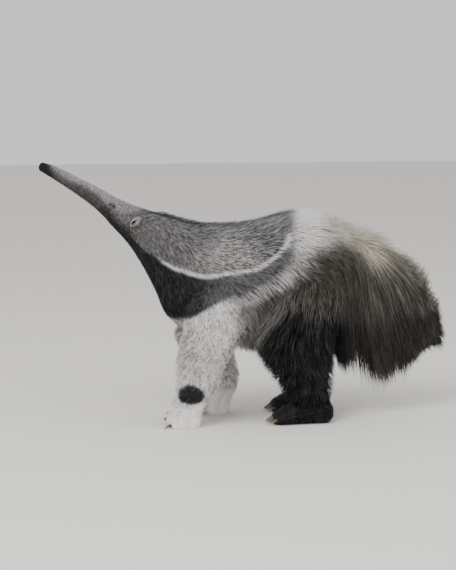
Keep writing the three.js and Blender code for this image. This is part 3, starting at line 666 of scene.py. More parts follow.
def skinMaterial():
    material, shader = newMaterial("skin", 0.72, 0.25)
    tone = placeGroup(material, groups["colour"], (-600, 200), tipping=0.75, speckle=1.2)
    grain = placeGroup(material, groups["grain"], (-600, -200), scale=420.0, stretch=0.22)
    bump = addBump(material.node_tree, shader, grain.outputs["Height"], 0.0012)
    bump.inputs["Strength"].default_value = 0.5
    material.node_tree.links.new(tone.outputs["Color"], shader.inputs["Base Color"])
    return material


materials = {"coat": coatMaterial(), "skin": skinMaterial()}


# A mesh from a finished bmesh
def meshOf(bm, name, smooth=True):
    mesh = bpy.data.meshes.new(name)
    bm.to_mesh(mesh)
    bm.free()
    if smooth:
        mesh.shade_smooth()
    return mesh


def newPiece(name, mesh, material):
    piece = bpy.data.objects.new(name, mesh)
    bpy.context.scene.collection.objects.link(piece)
    mesh.materials.append(material)
    return piece


def storeValues(mesh, name, values):
    made = mesh.attributes.new(name, "FLOAT", "POINT")
    made.data.foreach_set("value", np.array(values, np.float32))


# Skin: depthAt is how far it lies under the outline at a section, for the short coat that grows on
# it, and ringsAt how its rings are shared out, with more on the head, where the folds are
skinForm = {
    "trunkRings": 300,
    "trunkSides": 96,
    "ringsAt": [(0, 0), (0.04, 1.2), (0.1, 3), (0.4, 5.4), (0.56, 7.4), (0.84, 19), (1, tailSkinEnd)],
    "limbRings": 60,
    "limbSides": 40,
    "depthAt": [(0, 0.2), (2.5, 0.6), (5, 2.5), (7, 4), (9, 6), (12, 9), (14, 9), (19, 6), (26, 2)],
    "limbDepth": 7,
    "digitGroove": 3.5,
    "digitTurns": (28, 62, 98),
    "mouthTurn": 112,
    "mouthFrom": (0.9, 1.3),
    "mouthTo": (3.7, 3.0),
    "mouthDepth": 2.6,
    "mouthHalf": 3.2,
    "lipHeight": 1.6,
    "lipAway": 9,
    "lipHalf": 6,
    "nostrilRim": 1.1,
    "socketRim": 1.4,
    "shade": 0.5,
    "tip": 0.45,
}
# How close to the floor skin, coat and claws may come, in millimetres
floorGap = {"skin": 0.6, "coat": 1.5, "claws": 0.4}

# Forms of the head: section, reach along the head, turn from the top in degrees, reach around it and
# height in millimetres, below 0 for a hollow
eyeAt = station["eyes"] + eyeForm["at"]
headForms = {
    "nostril": (0.95, 0.42, 40, 17, -3.4),
    "socket": (eyeAt, 0.22, eyeForm["turn"], 17, -3.4),
    "earDip": (station["ears"] - earForm["ahead"], 0.26, earForm["turn"], 13, -9),
    "brow": (eyeAt + 0.02, 0.34, eyeForm["turn"] - 18, 9, 3.0),
    "folds": (eyeAt, 0.55, eyeForm["turn"], 30, -0.9),
    "cheek": (7.2, 0.9, 105, 30, 2.5),
    "hollow": (5.1, 0.8, 82, 20, -1.2),
}
# Forms that run along the head: turn from the top, reach around it, where they start and end, height
headRidges = {
    "bridge": (0, 26, (3, 5), (8.5, 6.5), 1.2),
    "jaw": (128, 16, (4.5, 6), (9, 7.5), 1.8),
}


def storeMasks(mesh):
    points = np.empty(len(mesh.vertices) * 3)
    mesh.vertices.foreach_get("co", points)
    for name, values in coatMasks(points.reshape(-1, 3)).items():
        storeValues(mesh, name, values)
    for name in ("shade", "tip"):
        storeValues(mesh, name, np.full(len(mesh.vertices), skinForm[name]))


def mouthRelief(t, turn):
    along = smoothStep(*skinForm["mouthFrom"], t) * smoothStep(*skinForm["mouthTo"], t)
    fromLine = turn - skinForm["mouthTurn"]
    groove = np.exp(-(fromLine / skinForm["mouthHalf"]) ** 2)
    lips = sum(np.exp(-((fromLine - away) / skinForm["lipHalf"]) ** 2)
               for away in (skinForm["lipAway"], -skinForm["lipAway"]))
    return (lips * skinForm["lipHeight"] - groove * skinForm["mouthDepth"]) * along


# Relief of the head in metres: mouth line and lips, nostrils, eye sockets, brows and cheeks
def headRelief(t, angle):
    turn = np.degrees(np.abs(angle))
    relief = mouthRelief(t, turn)
    away = {}
    for name, (at, long, middle, wide, height) in headForms.items():
        away[name] = ((t - at) / long) ** 2 + ((turn - middle) / wide) ** 2
        if name in ("brow", "cheek", "hollow"):
            relief = relief + height * np.exp(-away[name])
    for name, edge in (("nostril", (1.1, 0.4)), ("socket", (1.2, 0.5)), ("earDip", (1.1, 0.5))):
        relief = relief + headForms[name][-1] * smoothStep(*edge, away[name])
    relief = relief + skinForm["nostrilRim"] * np.exp(-((away["nostril"] - 1.5) / 0.6) ** 2) * (t < 2)
    relief = relief + skinForm["socketRim"] * np.exp(-((away["socket"] - 2.0) / 0.9) ** 2)
    # fine folds before and behind the eye
    folds = np.cos(away["socket"] * 2.4) * smoothStep(1.5, 2.5, away["socket"])
    relief = relief + headForms["folds"][-1] * np.exp(-away["folds"]) * folds
    for middle, wide, start, end, height in headRidges.values():
        along = smoothStep(*start, t) * smoothStep(*end, t)
        relief = relief + height * np.exp(-((turn - middle) / wide) ** 2) * along
    return relief * mm


# A tube of skin from a grid whose ends are closed
def tubeMesh(name, rings, around, place):
    bm = bmesh.new()
    bmesh.ops.create_grid(bm, x_segments=rings, y_segments=around, size=1)
    flat = np.array([vert.co[:2] for vert in bm.verts])
    points = place((flat[:, 0] + 1) / 2, flat[:, 1] * math.pi)
    for vert, point in zip(bm.verts, points):
        vert.co = point
    bmesh.ops.remove_doubles(bm, verts=bm.verts, dist=1e-6)
    edges = [edge for edge in bm.edges if edge.is_boundary]
    bmesh.ops.holes_fill(bm, edges=edges)
    bmesh.ops.triangulate(bm, faces=[face for face in bm.faces if len(face.verts) > 4])
    bmesh.ops.recalc_face_normals(bm, faces=bm.faces)
    return meshOf(bm, name, smooth=False)


def skinDepth(tubeName, t):
    if tubeName == "body":
        return np.interp(t, *zip(*skinForm["depthAt"])) * mm
    return np.full(t.shape, skinForm["limbDepth"] * mm)


def trunkPlace(share, angle):
    t = np.interp(share, *zip(*skinForm["ringsAt"]))
    return surface(tubes["body"], t, angle, 0, headRelief(t, angle) - skinDepth("body", t))


def limbPlace(tube, last, grooves=()):
    def place(share, angle):
        t = last * share
        # the skin lies less deep at the sole
        lift = -skinForm["limbDepth"] * mm * (0.35 + 0.65 * (t < last - 2))
        # shallow grooves between the digits
        for groove in grooves:
            near = np.exp(-((np.degrees(np.abs(angle)) - groove) / 7) ** 2)
            lift = lift - skinForm["digitGroove"] * mm * near * smoothStep(last - 4.2, last - 3, t)
        points = surface(tube, t, angle, 0, lift)
        points[:, 2] = np.maximum(points[:, 2], floorGap["skin"] * mm)
        return points
    return place


def joinShapes(base, others):
    for other in others:
        joined = base.modifiers.new("join", "BOOLEAN")
        joined.operation = "UNION"
        joined.solver = "EXACT"
        joined.object = other
        bpy.context.view_layer.objects.active = base
        bpy.ops.object.modifier_apply(modifier=joined.name)
        mesh = other.data
        bpy.data.objects.remove(other)
        bpy.data.meshes.remove(mesh)


def makeSkin():
    form = skinForm
    trunkMesh = tubeMesh("skin", form["trunkRings"], form["trunkSides"], trunkPlace)
    skin = newPiece("skin", trunkMesh, materials["skin"])
    limbs = {"foreleg": forelegSections, "hindleg": hindlegSections, "hindfoot": hindfootSections}
    others = []
    for sideName in sides:
        for limb, sections in limbs.items():
            grooves = form["digitTurns"] if limb == "foreleg" else ()
            place = limbPlace(tubes[limb + sideName], len(sections) - 1, grooves)
            mesh = tubeMesh(limb, form["limbRings"], form["limbSides"], place)
            others.append(newPiece(limb, mesh, materials["skin"]))
    joinShapes(skin, others)
    skin.data.shade_smooth()
    storeMasks(skin.data)
    return skin


skin = makeSkin()
print("skin", len(skin.data.polygons), "faces")


# Round places where no coat grows, in millimetres. Each has a second one as large, ahead and above
# by a share of its radius.
clearing = {"eye": 9.5, "ear": 17.5, "ahead": 0.7, "above": 0.4}
barePlaces = []
for side in sides.values():
    barePlaces.append((eyePlace(side)[0], clearing["eye"] * mm))
    barePlaces.append((earAxes(side)[0], clearing["ear"] * mm))


# Coat: how each part of it grows. t is the stretch of its tube, count the number of tufts, long
# their length at either end of the stretch and wide their width in millimetres. comb pulls them
# along the body and fall down, lift is how far their tips stand off and stray how far they turn
# aside. clump is how many tufts share a tip and gather how strongly. pepper is how much the
# tufts differ in shade, wave how far they swing sideways, settle how much less comb there is on
# the sides and below, and turn the stretch around the body in degrees from its top.
coatDefaults = {"tube": "body", "comb": 1, "rings": 2, "wave": 0, "settle": 0, "turn": (0, 180)}
coatFields = {
    "coatFace": [
        {"t": (1.0, 6.4), "count": 9200, "long": (2, 8), "wide": 1.1, "fall": 0.2, "lift": 0.8, "clump": 2,
         "gather": 0.1, "stray": 0.15, "pepper": 0.2},
    ],
    "coatHead": [
        {"t": (6.2, 9.3), "count": 10500, "long": (9, 15), "wide": 1.4, "fall": 0.35, "lift": 2, "clump": 3,
         "gather": 0.2, "stray": 0.16, "pepper": 0.24},
    ],
    "coatNeck": [
        {"t": (9.0, 12.2), "count": 14000, "long": (17, 27), "wide": 1.8, "fall": 0.5, "lift": 4,
         "clump": 3, "gather": 0.22, "stray": 0.18, "pepper": 0.3},
    ],
    "coatChest": [
        {"t": (12.0, 15.0), "count": 13000, "long": (26, 40), "wide": 2.2, "fall": 0.75, "lift": 5,
         "clump": 4, "gather": 0.28, "stray": 0.16, "pepper": 0.3},
    ],
    "coatFlank": [
        {"t": (14.6, 17.4), "count": 8800, "long": (60, 110), "wide": 2.9, "fall": 0.95, "lift": 6,
         "rings": 3, "clump": 6, "gather": 0.45, "stray": 0.13, "pepper": 0.3},
    ],
    "coatRump": [
        {"t": (16.8, 19.3), "count": 7000, "long": (90, 150), "wide": 3.1, "fall": 1.1, "lift": 7,
         "rings": 3, "clump": 7, "gather": 0.5, "stray": 0.13, "pepper": 0.42, "settle": 0.6},
    ],
    "coatMane": [
        {"t": (8.6, 15.5), "count": 2300, "long": (20, 60), "wide": 1.9, "fall": 0.1, "lift": 13,
         "rings": 3, "clump": 4, "gather": 0.4, "stray": 0.2, "pepper": 0.3, "turn": (0, 14)},
        {"t": (13.5, 19.0), "count": 2800, "long": (70, 150), "wide": 2.8, "fall": 0.3, "lift": 14,
         "rings": 3, "clump": 5, "gather": 0.45, "stray": 0.16, "pepper": 0.46, "turn": (0, 26)},
    ],
    "coatForeleg": [
        {"tube": "foreleg", "t": (0.6, 4.6), "count": 4500, "long": (15, 20), "wide": 1.9, "fall": 0,
         "lift": 4, "clump": 4, "gather": 0.35, "stray": 0.24, "pepper": 0.46},
        {"tube": "foreleg", "t": (4.0, 7.4), "count": 3400, "long": (14, 18), "wide": 1.8, "fall": 0,
         "lift": 4, "clump": 4, "gather": 0.35, "stray": 0.24, "pepper": 0.46},
        {"tube": "foreleg", "t": (7.0, 10.6), "count": 1900, "long": (8, 5), "wide": 1.2, "fall": 0,
         "lift": 0.8, "clump": 3, "gather": 0.15, "stray": 0.2, "pepper": 0.14},
    ],
    "coatHindleg": [
        {"tube": "hindleg", "t": (0.7, 4.4), "count": 2600, "long": (60, 90), "wide": 3.2, "fall": 0.2,
         "lift": 4, "rings": 3, "clump": 6, "gather": 0.45, "stray": 0.1, "pepper": 0.2},
        {"tube": "hindleg", "t": (4.0, 7.6), "count": 2150, "long": (45, 75), "wide": 3.0, "fall": 0.2,
         "lift": 3, "rings": 3, "clump": 6, "gather": 0.45, "stray": 0.1, "pepper": 0.2},
        {"tube": "hindfoot", "t": (0.1, 4.9), "count": 1700, "long": (14, 18), "wide": 2.0, "fall": 0.3,
         "lift": 4, "clump": 4, "gather": 0.3, "stray": 0.18, "pepper": 0.34},
    ],
    "coatTailFore": [
        {"t": (18.0, 22.4), "count": 5800, "long": (110, 180), "wide": 3.4, "comb": 0.9, "fall": 1.4,
         "lift": 6, "rings": 4, "clump": 7, "gather": 0.5, "stray": 0.1, "pepper": 0.3, "wave": 7,
         "settle": 0.85},
        {"t": (18.2, 22.6), "count": 1400, "long": (40, 60), "wide": 3.2, "comb": 0.6, "fall": 1.2,
         "lift": 4, "rings": 4, "clump": 5, "gather": 0.4, "stray": 0.14, "pepper": 0.26, "wave": 9,
         "turn": (120, 178)},
    ],
    "coatTailHind": [
        {"t": (21.8, 26.0), "count": 5400, "long": (110, 75), "wide": 3.4, "fall": 1.2, "lift": 6,
         "rings": 4, "clump": 7, "gather": 0.5, "stray": 0.12, "pepper": 0.3, "wave": 7, "settle": 0.5},
        {"t": (22.2, 25.7), "count": 1100, "long": (50, 35), "wide": 3.2, "comb": 0.5, "fall": 1.2,
         "lift": 4, "rings": 4, "clump": 5, "gather": 0.4, "stray": 0.14, "pepper": 0.26, "wave": 8,
         "turn": (105, 178)},
    ],
}

# Where each tube lies on the unwrapped coat: left, bottom, width, height
unwrapPlaces = {
    "body": (0.01, 0.01, 0.98, 0.42),
    "forelegLeft": (0.51, 0.45, 0.23, 0.25),
    "forelegRight": (0.76, 0.45, 0.23, 0.25),
    "hindlegLeft": (0.01, 0.72, 0.23, 0.25),
    "hindlegRight": (0.26, 0.72, 0.23, 0.25),
    "hindfootLeft": (0.51, 0.72, 0.23, 0.12),
    "hindfootRight": (0.76, 0.72, 0.23, 0.12),
    "ears": (0.51, 0.86, 0.48, 0.12),
}
# endFray is how far back from the last ring the hair ends, endEase over what stretch it draws up,
# overlap how deep a root may lie in another tube, and markingHold how far a tuft's marking is taken
# from its middle rather than from each of its own points
tuftForm = {
    "patch": 0.003, "endFray": 0.85, "endEase": 0.3, "rootSunk": 2.0, "overlap": 12, "markingHold": 0.45,
    "settleTurns": (50, 115), "lengthSpread": 0.2, "lengths": (0.45, 1.6), "reach": 0.93, "reachSpread": 0.1,
    "reaches": (0.5, 1.12), "lifts": (0.3, 1.2), "widths": (0.7, 1.3),
}


def pickRoots(field, tubeName, rng):
    tube = tubes[tubeName]
    wanted = field["count"]
    many = wanted * 6
    t = rng.uniform(*field["t"], many)
    turns = np.radians(field["turn"])
    angle = rng.uniform(*turns, many) * rng.choice((-1, 1), many)
    along, around = slopes(tube, t, angle, 0.4)
    area = np.linalg.norm(np.cross(along, around), axis=1)
    keep = rng.random(many) < area / np.quantile(area, 0.97)
    t, angle = t[keep], angle[keep]
    points = surface(tube, t, angle)
    hidden = np.zeros(len(t), bool)
    for middle, radius in barePlaces if tubeName == "body" else ():
        ahead = middle - np.array((radius * clearing["ahead"], 0, -radius * clearing["above"]))
        away = np.minimum(np.linalg.norm(points - middle, axis=1), np.linalg.norm(points - ahead, axis=1))
        hidden |= away < radius
    for other, otherTube in tubes.items():
        if other != tubeName:
            hidden |= insideTube(otherTube, points, -tuftForm["overlap"] * mm)
    seen = np.flatnonzero(~hidden)[:wanted]
    return t[seen], angle[seen]


def nearestClump(points, clumpPoints):
    tree = KDTree(len(clumpPoints))
    for i, point in enumerate(clumpPoints):
        tree.insert(point, i)
    tree.balance()
    return np.array([tree.find(point)[1] for point in points])


# The paths of a field's tufts: (tuft, ring, xyz), and what each tuft needs besides
def tuftPaths(field, tubeName, rng):
    tube, form = tubes[tubeName], tuftForm
    t, angle = pickRoots(field, tubeName, rng)
    count = len(t)
    along, around = slopes(tube, t, angle, 0.7)
    alongSize, aroundSize = np.linalg.norm(along, axis=1), np.linalg.norm(around, axis=1)
    down = np.array((0, 0, -1.0))
    hang = field["settle"] * smoothStep(*np.radians(form["settleTurns"]), np.abs(angle))
    pull = field["comb"] * (1 - hang) + field["fall"] * (along @ down) / alongSize
    swing = field["fall"] * (around @ down) / aroundSize
    size = np.maximum(np.hypot(pull, swing), 0.4)
    low, high = field["long"]
    share = (t - field["t"][0]) / (field["t"][1] - field["t"][0])
    spread = rng.normal(1, form["lengthSpread"], count).clip(*form["lengths"])
    length = (low + (high - low) * share) * spread * mm
    stepT = pull / size * length / alongSize
    stepA = (swing / size + rng.normal(0, field["stray"], count)) * length / aroundSize
    steps = np.linspace(0, 1, field["rings"] + 1)
    ends = len(tube["rise"]) - 1 - rng.uniform(0, form["endFray"], count)[:, None]
    ts = t[:, None] + stepT[:, None] * steps
    ts = ends - form["endEase"] * np.logaddexp(0, (ends - ts) / form["endEase"])
    angles = angle[:, None] + stepA[:, None] * steps
    angles = np.clip(angles, -math.pi * 0.995, math.pi * 0.995)
    reach = rng.normal(form["reach"], form["reachSpread"], count).clip(*form["reaches"])
    shares = reach[:, None] * steps ** 0.85
    lift = field["lift"] * mm * rng.uniform(*form["lifts"], count)
    sunk = skinDepth(tubeName, t)[:, None] * (1 - steps) ** 2 * 1.15 + form["rootSunk"] * mm * (steps == 0)
    paths = surface(tube, ts, angles, shares, lift[:, None] * steps - sunk)
    roots = surface(tube, t, angle)
    # each tuft leans towards the tip of its clump
    clumps = max(2, count // field["clump"])
    chosen = rng.choice(count, clumps, replace=False)
    nearest = chosen[nearestClump(roots, roots[chosen])]
    bend = (steps ** 1.6 * field["gather"])[None, :, None]
    paths = paths * (1 - bend) + paths[nearest] * bend
    sideways = unit(around) * rng.normal(0, 1, (count, 1))
    wave = field["wave"] * mm * (np.sin(steps * 4 + 1) - math.sin(1))[None, :, None]
    paths = paths + sideways[:, None] * wave
    paths[..., 2] = np.maximum(paths[..., 2], floorGap["coat"] * mm)
    pepper = field["pepper"]
    shade = 0.5 + 0.9 * pepper * rng.normal(size=count)[nearest] + pepper * rng.normal(size=count)
    return {"paths": paths, "uv": unwrapAt(tubeName, t, angle), "shade": np.clip(shade, 0, 1),
            "outward": outwardOf(tube, t, angle), "paler": np.zeros(count),
            "width": field["wide"] * rng.uniform(*form["widths"], count) * mm}


def unwrapAt(tubeName, t, angle):
    left, bottom, wide, tall = unwrapPlaces[tubeName]
    last = len(tubes[tubeName]["rise"]) - 1
    u = left + wide * np.clip(t / last, 0, 1)
    v = bottom + tall * (angle / (2 * math.pi) + 0.5)
    return np.stack((u, v), axis=1)


# Points of each tuft, a blade with three corners at each ring and one point at its tip
def bladePoints(made):
    paths = made["paths"]
    count, rings = paths.shape[0], paths.shape[1] - 1
    heading = unit(np.diff(paths, axis=1))
    sideways = unit(np.cross(heading, made["outward"][:, None, :]))
    upward = np.cross(sideways, heading)
    s = np.arange(rings) / rings
    taper = (0.75 + 0.55 * s - 1.15 * s ** 2)[None, :, None] * made["width"][:, None, None]
    body = paths[:, :-1]
    corners = (body + sideways * taper * 0.5, body + upward * taper * 0.38, body - sideways * taper * 0.5)
    corners = np.stack(corners, axis=2).reshape(count, rings * 3, 3)
    return np.concatenate((corners, paths[:, -1:]), axis=1)


# A blade's faces: its corners in order, and how many each face has. The root is closed too.
def bladeFaces(rings):
    loops = []
    for ring in range(rings - 1):
        for k in range(3):
            a, b = ring * 3 + k, ring * 3 + (k + 1) % 3
            loops += [a, b, b + 3, a + 3]
    last = (rings - 1) * 3
    for k in range(3):
        loops += [last + k, last + (k + 1) % 3, rings * 3]
    loops += [2, 1, 0]
    return np.array(loops), np.array([4] * (rings - 1) * 3 + [3] * 4)


# Tufts as one mesh from arrays
def tuftMesh(name, sets):
    coords, corners, sizes, uvs = [], [], [], []
    values = {key: [] for key in (*maskNames, "shade", "tip")}
    vertexCount = 0
    for made in sets:
        block = bladePoints(made)
        count, each = block.shape[:2]
        rings = (each - 1) // 3
        loops, faceSizes = bladeFaces(rings)
        starts = vertexCount + np.arange(count)[:, None] * each
        corners.append((starts + loops).reshape(-1))
        sizes.append(np.tile(faceSizes, count))
        coords.append(block.reshape(-1, 3))
        vertexCount += count * each
        tipShare = np.append(np.repeat(np.arange(rings) / rings, 3), 1.0)
        acrossShare = np.append(np.tile((0.0, 0.5, 1.0), rings), 0.5)
        patch = tuftForm["patch"] * (np.stack((tipShare, acrossShare), axis=1) - 0.5)
        uvs.append((made["uv"][:, None] + patch)[:, loops].reshape(-1, 2))
        middle = made["paths"][:, (rings + 2) // 2][:, None]
        hold = tuftForm["markingHold"]
        masks = coatMasks((block * (1 - hold) + middle * hold).reshape(-1, 3))
        masks["bright"] = masks["bright"] + np.repeat(made["paler"], each)
        masks["shade"] = np.repeat(made["shade"], each)
        masks["tip"] = np.tile(tipShare, count)
        for key, kept in values.items():
            kept.append(masks[key])
    coords, corners, sizes = np.concatenate(coords), np.concatenate(corners), np.concatenate(sizes)
    mesh = bpy.data.meshes.new(name)
    mesh.vertices.add(len(coords))
    mesh.vertices.foreach_set("co", coords.astype(np.float32).reshape(-1))
    mesh.loops.add(len(corners))
    mesh.loops.foreach_set("vertex_index", corners.astype(np.int32))
    mesh.polygons.add(len(sizes))
    mesh.polygons.foreach_set("loop_start", (np.cumsum(sizes) - sizes).astype(np.int32))
    mesh.update(calc_edges=True)
    mesh.shade_smooth()
    unwrapped = mesh.uv_layers.new(name="OFBake")
    unwrapped.data.foreach_set("uv", np.concatenate(uvs).astype(np.float32).reshape(-1))
    for key, kept in values.items():
        storeValues(mesh, key, np.concatenate(kept))
    mesh.validate()
    return mesh


earHair = {"count": 900, "long": 9, "wide": 0.9, "lowest": -0.75, "stray": 0.36}


# Short hair on the back and rim of an ear, longest and palest at the rim
def earTufts(side, rng):
    count = earHair["count"]
    middle, width, face, length = earAxes(side)
    axes = np.array((width, face, length))
    sizes = np.array((earForm["wide"], earForm["deep"], earForm["long"])) * mm
    around = unit(rng.normal(size=(count * 2, 3)))
    around = around[(around[:, 1] < earForm["opening"]) & (around[:, 2] > earHair["lowest"])][:count]
    rim = smoothStep(-0.1, 0.5, around[:, 1])
    narrowed = around.copy()
    narrowed[:, 0] *= 1 - (1 - earForm["slit"]) * np.clip((around[:, 1] - 0.1) / 0.58, 0, 1)
    roots = middle + (narrowed * sizes) @ axes
    outward = unit((around / sizes) @ axes)
    flat = np.ones(len(roots))
    lie = np.stack((-0.3 * rim * around[:, 0], 0.35 * flat, flat), axis=1) @ axes
    lie = lie + rng.normal(0, earHair["stray"], (len(roots), 3))
    lie = unit(lie - outward * np.sum(lie * outward, axis=1, keepdims=True))
    hair = earHair["long"] * (0.7 + 0.6 * rim) * rng.uniform(0.7, 1.2, len(roots)) * mm
    steps = np.array((0, 0.5, 1))[None, :, None]
    course = lie[:, None] * steps + outward[:, None] * (0.45 * steps ** 1.4 - 0.1)
    left, bottom, wide, tall = unwrapPlaces["ears"]
    u = left + wide * (0.25 + 0.5 * (side > 0) + 0.22 * around[:, 0])
    v = bottom + tall * (0.5 + 0.45 * around[:, 2])
    return {"paths": roots[:, None] + course * hair[:, None, None], "uv": np.stack((u, v), axis=1),
            "shade": np.clip(rng.normal(0.5, 0.14, len(roots)), 0, 1), "outward": outward,
            "width": np.full(len(roots), earHair["wide"] * mm), "paler": 0.55 * rim}


def growCoat(name, fields, seed, sideName=""):
    rng = np.random.default_rng(seed)
    sets = [tuftPaths(field, field["tube"] + sideName, rng) for field in fields]
    piece = newPiece(name + sideName, tuftMesh(name, sets), materials["coat"])
    triangles = sum(len(polygon.vertices) - 2 for polygon in piece.data.polygons)
    print(name + sideName, triangles, "triangles")
    return piece


coat = {}
for k, (name, fields) in enumerate(coatFields.items()):
    fields = [{**coatDefaults, **field} for field in fields]
    for sideName in sides if fields[0]["tube"] != "body" else ("",):
        coat[name + sideName] = growCoat(name, fields, 40 + 10 * k + len(sideName), sideName)
earDraws = np.random.default_rng(7)
for sideName, side in sides.items():
    earCoat = tuftMesh("coatEar", [earTufts(side, earDraws)])
    coat["coatEar" + sideName] = newPiece("coatEar" + sideName, earCoat, materials["coat"])


# Eyes: a dark wet ball under two thick lids
eyeColours = {"iris": (17, 11, 8), "pupil": (3, 2, 2), "ring": (30, 20, 14)}


def eyeMaterial():
    material, shader = newMaterial("eye", 0.06, 0.6)
    iris = attributeValue(material.node_tree, (-700, 0), "iris")
    stops = ((0.0, eyeColours["pupil"]), (0.42, eyeColours["iris"]), (1.0, eyeColours["ring"]))
    paintAlong(material.node_tree, shader, iris, stops)
    return material


materials["eye"] = eyeMaterial()


def makeEye(sideName, side):
    out = eyePlace(side)[1]
    centre = Vector(eyeCentre(side))
    bm = bmesh.new()
    bmesh.ops.create_uvsphere(bm, u_segments=32, v_segments=20, radius=eyeForm["radius"] * mm)
    turn = Vector((0, 0, 1)).rotation_difference(Vector(out)).to_matrix().to_4x4()
    bmesh.ops.transform(bm, matrix=Matrix.Translation(centre) @ turn, verts=bm.verts)
    mesh = meshOf(bm, "eye" + sideName)
    points = np.array([vert.co for vert in mesh.vertices]) - np.array(centre)
    fromMiddle = np.arccos(np.clip(unit(points) @ out, -1, 1))
    storeValues(mesh, "iris", np.clip(fromMiddle / eyeForm["ringTurn"], 0, 1))
    return newPiece("eye" + sideName, mesh, materials["eye"])


lidForm = {
    "wall": 1.2, "open": 3.5, "long": 1.8, "flat": 0.72, "darkTo": 2.2, "cut": 0.45, "rim": 1.0,
    "spreadAlong": 0.75, "spreadAcross": 0.4,
}
lidColours = {"edge": (22, 18, 17), "skin": (92, 88, 90)}


def lidMaterial():
    material, shader = newMaterial("lid", 0.55, 0.3)
    tree = material.node_tree
    grain = placeGroup(material, groups["grain"], (-700, -100), scale=700.0, stretch=0.8)
    varied = mathNode(tree, (-480, -50), "MULTIPLY", grain.outputs["Height"], 0.5)
    varied = mathNode(tree, (-480, 150), "ADD", attributeValue(tree, (-700, 200), "edge"), varied)
    paintAlong(tree, shader, varied, ((0.2, lidColours["skin"]), (1.0, lidColours["edge"])))
    addBump(tree, shader, grain.outputs["Height"], 0.0008)
    return material


materials["lid"] = lidMaterial()


# The lids are a shell over the ball, open in an almond that runs along the head, and spread out
# into the skin
def makeLids(sideName, side):
    out = eyePlace(side)[1]
    t, angle = np.array(float(station["eyes"])), np.array(side * math.radians(eyeForm["turn"]))
    ahead = -slopes(tubes["body"], t, angle)[0]
    ahead = unit(ahead - out * (ahead @ out))
    upward = np.cross(ahead, out) * side
    basis = Matrix((ahead, upward, out)).transposed().to_4x4()
    bm = bmesh.new()
    edge = bm.verts.layers.float.new("edge")
    radius = (eyeForm["radius"] + lidForm["wall"]) * mm
    bmesh.ops.create_uvsphere(bm, u_segments=64, v_segments=64, radius=radius)
    opened = []
    for vert in bm.verts:
        x, y = vert.co.x / mm, vert.co.y / mm
        almond = (x / (lidForm["open"] * lidForm["long"])) ** 2 + (y / lidForm["open"] / lidForm["flat"]) ** 2
        vert[edge] = min(1.0, max(0.0, (lidForm["darkTo"] - almond) / (lidForm["darkTo"] - 1)))
        if vert.co.z < -lidForm["cut"] * radius or almond < 1:
            opened.append(vert)
    bmesh.ops.delete(bm, geom=opened, context="VERTS")
    bmesh.ops.smooth_vert(bm, verts=[v for v in bm.verts if v.is_boundary], factor=0.5, use_axis_x=True,
                          use_axis_y=True, use_axis_z=True)
    bmesh.ops.solidify(bm, geom=bm.faces, thickness=lidForm["rim"] * mm)
    for vert in bm.verts:
        low = float(smoothStep(0.25, 1.0, 1 - vert.co.z / radius))
        vert.co.x *= 1 + lidForm["spreadAlong"] * low
        vert.co.y *= 1 + lidForm["spreadAcross"] * low
    bmesh.ops.recalc_face_normals(bm, faces=bm.faces)
    bmesh.ops.transform(bm, matrix=Matrix.Translation(Vector(eyeCentre(side))) @ basis, verts=bm.verts)
    return newPiece("lids" + sideName, meshOf(bm, "lids" + sideName), materials["lid"])


eyes = {sideName: makeEye(sideName, side) for sideName, side in sides.items()}
lids = {sideName: makeLids(sideName, side) for sideName, side in sides.items()}
print("eyes and lids")


earColours = {"hollow": (26, 22, 21), "back": (104, 101, 100), "rim": (206, 201, 194)}


def earMaterial():
    material, shader = newMaterial("ear", 0.75, 0.2)
    tree = material.node_tree
    grain = placeGroup(material, groups["grain"], (-900, -200), scale=900.0, stretch=0.6)
    varied = mathNode(tree, (-700, -100), "MULTIPLY", grain.outputs["Height"], 0.35)
    varied = mathNode(tree, (-620, 100), "ADD", attributeValue(tree, (-900, 100), "tip"), varied)
    varied = mathNode(tree, (-460, 100), "SUBTRACT", varied, 0.175)
    stops = ((0.0, earColours["hollow"]), (0.5, earColours["back"]), (1.0, earColours["rim"]))
    paintAlong(tree, shader, varied, stops)
    addBump(tree, shader, grain.outputs["Height"], 0.0008)
    return material


materials["ear"] = earMaterial()


def makeEar(sideName, side):
    middle, width, face, length = earAxes(side)
    bm = bmesh.new()
    bmesh.ops.create_uvsphere(bm, u_segments=40, v_segments=28, radius=1)
    hollow = [vert for vert in bm.verts if vert.co.y > earForm["opening"]]
    bmesh.ops.delete(bm, geom=hollow, context="VERTS")
    wall, rimFrom = earForm["wall"] / earForm["wide"], earForm["rimFrom"]
    bmesh.ops.solidify(bm, geom=bm.faces, thickness=wall)
    bmesh.ops.recalc_face_normals(bm, faces=bm.faces)
    tones = []
    for vert in bm.verts:
        # the rim is palest and the hollow dark; the rim draws in to a slit, and the root is narrow
        rim = max(0.0, min(1.0, (vert.co.y - rimFrom) / (earForm["opening"] - rimFrom)))
        inner = vert.co.length < 1 - wall / 2
        tones.append(0.9 * rim ** 6 if inner else 0.45 + 0.55 * rim)
        rootDraw = 1 - earForm["rootDraw"] * max(0.0, -vert.co.z)
        vert.co.x *= rootDraw * (1 - (1 - earForm["slit"]) * rim)
    scale = Matrix.Diagonal((earForm["wide"] * mm, earForm["deep"] * mm, earForm["long"] * mm, 1))
    basis = Matrix((width, face, length)).transposed().to_4x4()
    bmesh.ops.transform(bm, matrix=Matrix.Translation(Vector(middle)) @ basis @ scale, verts=bm.verts)
    mesh = meshOf(bm, "ear" + sideName)
    storeValues(mesh, "tip", tones)
    return newPiece("ear" + sideName, mesh, materials["ear"])


ears = {sideName: makeEar(sideName, side) for sideName, side in sides.items()}
print("ears")


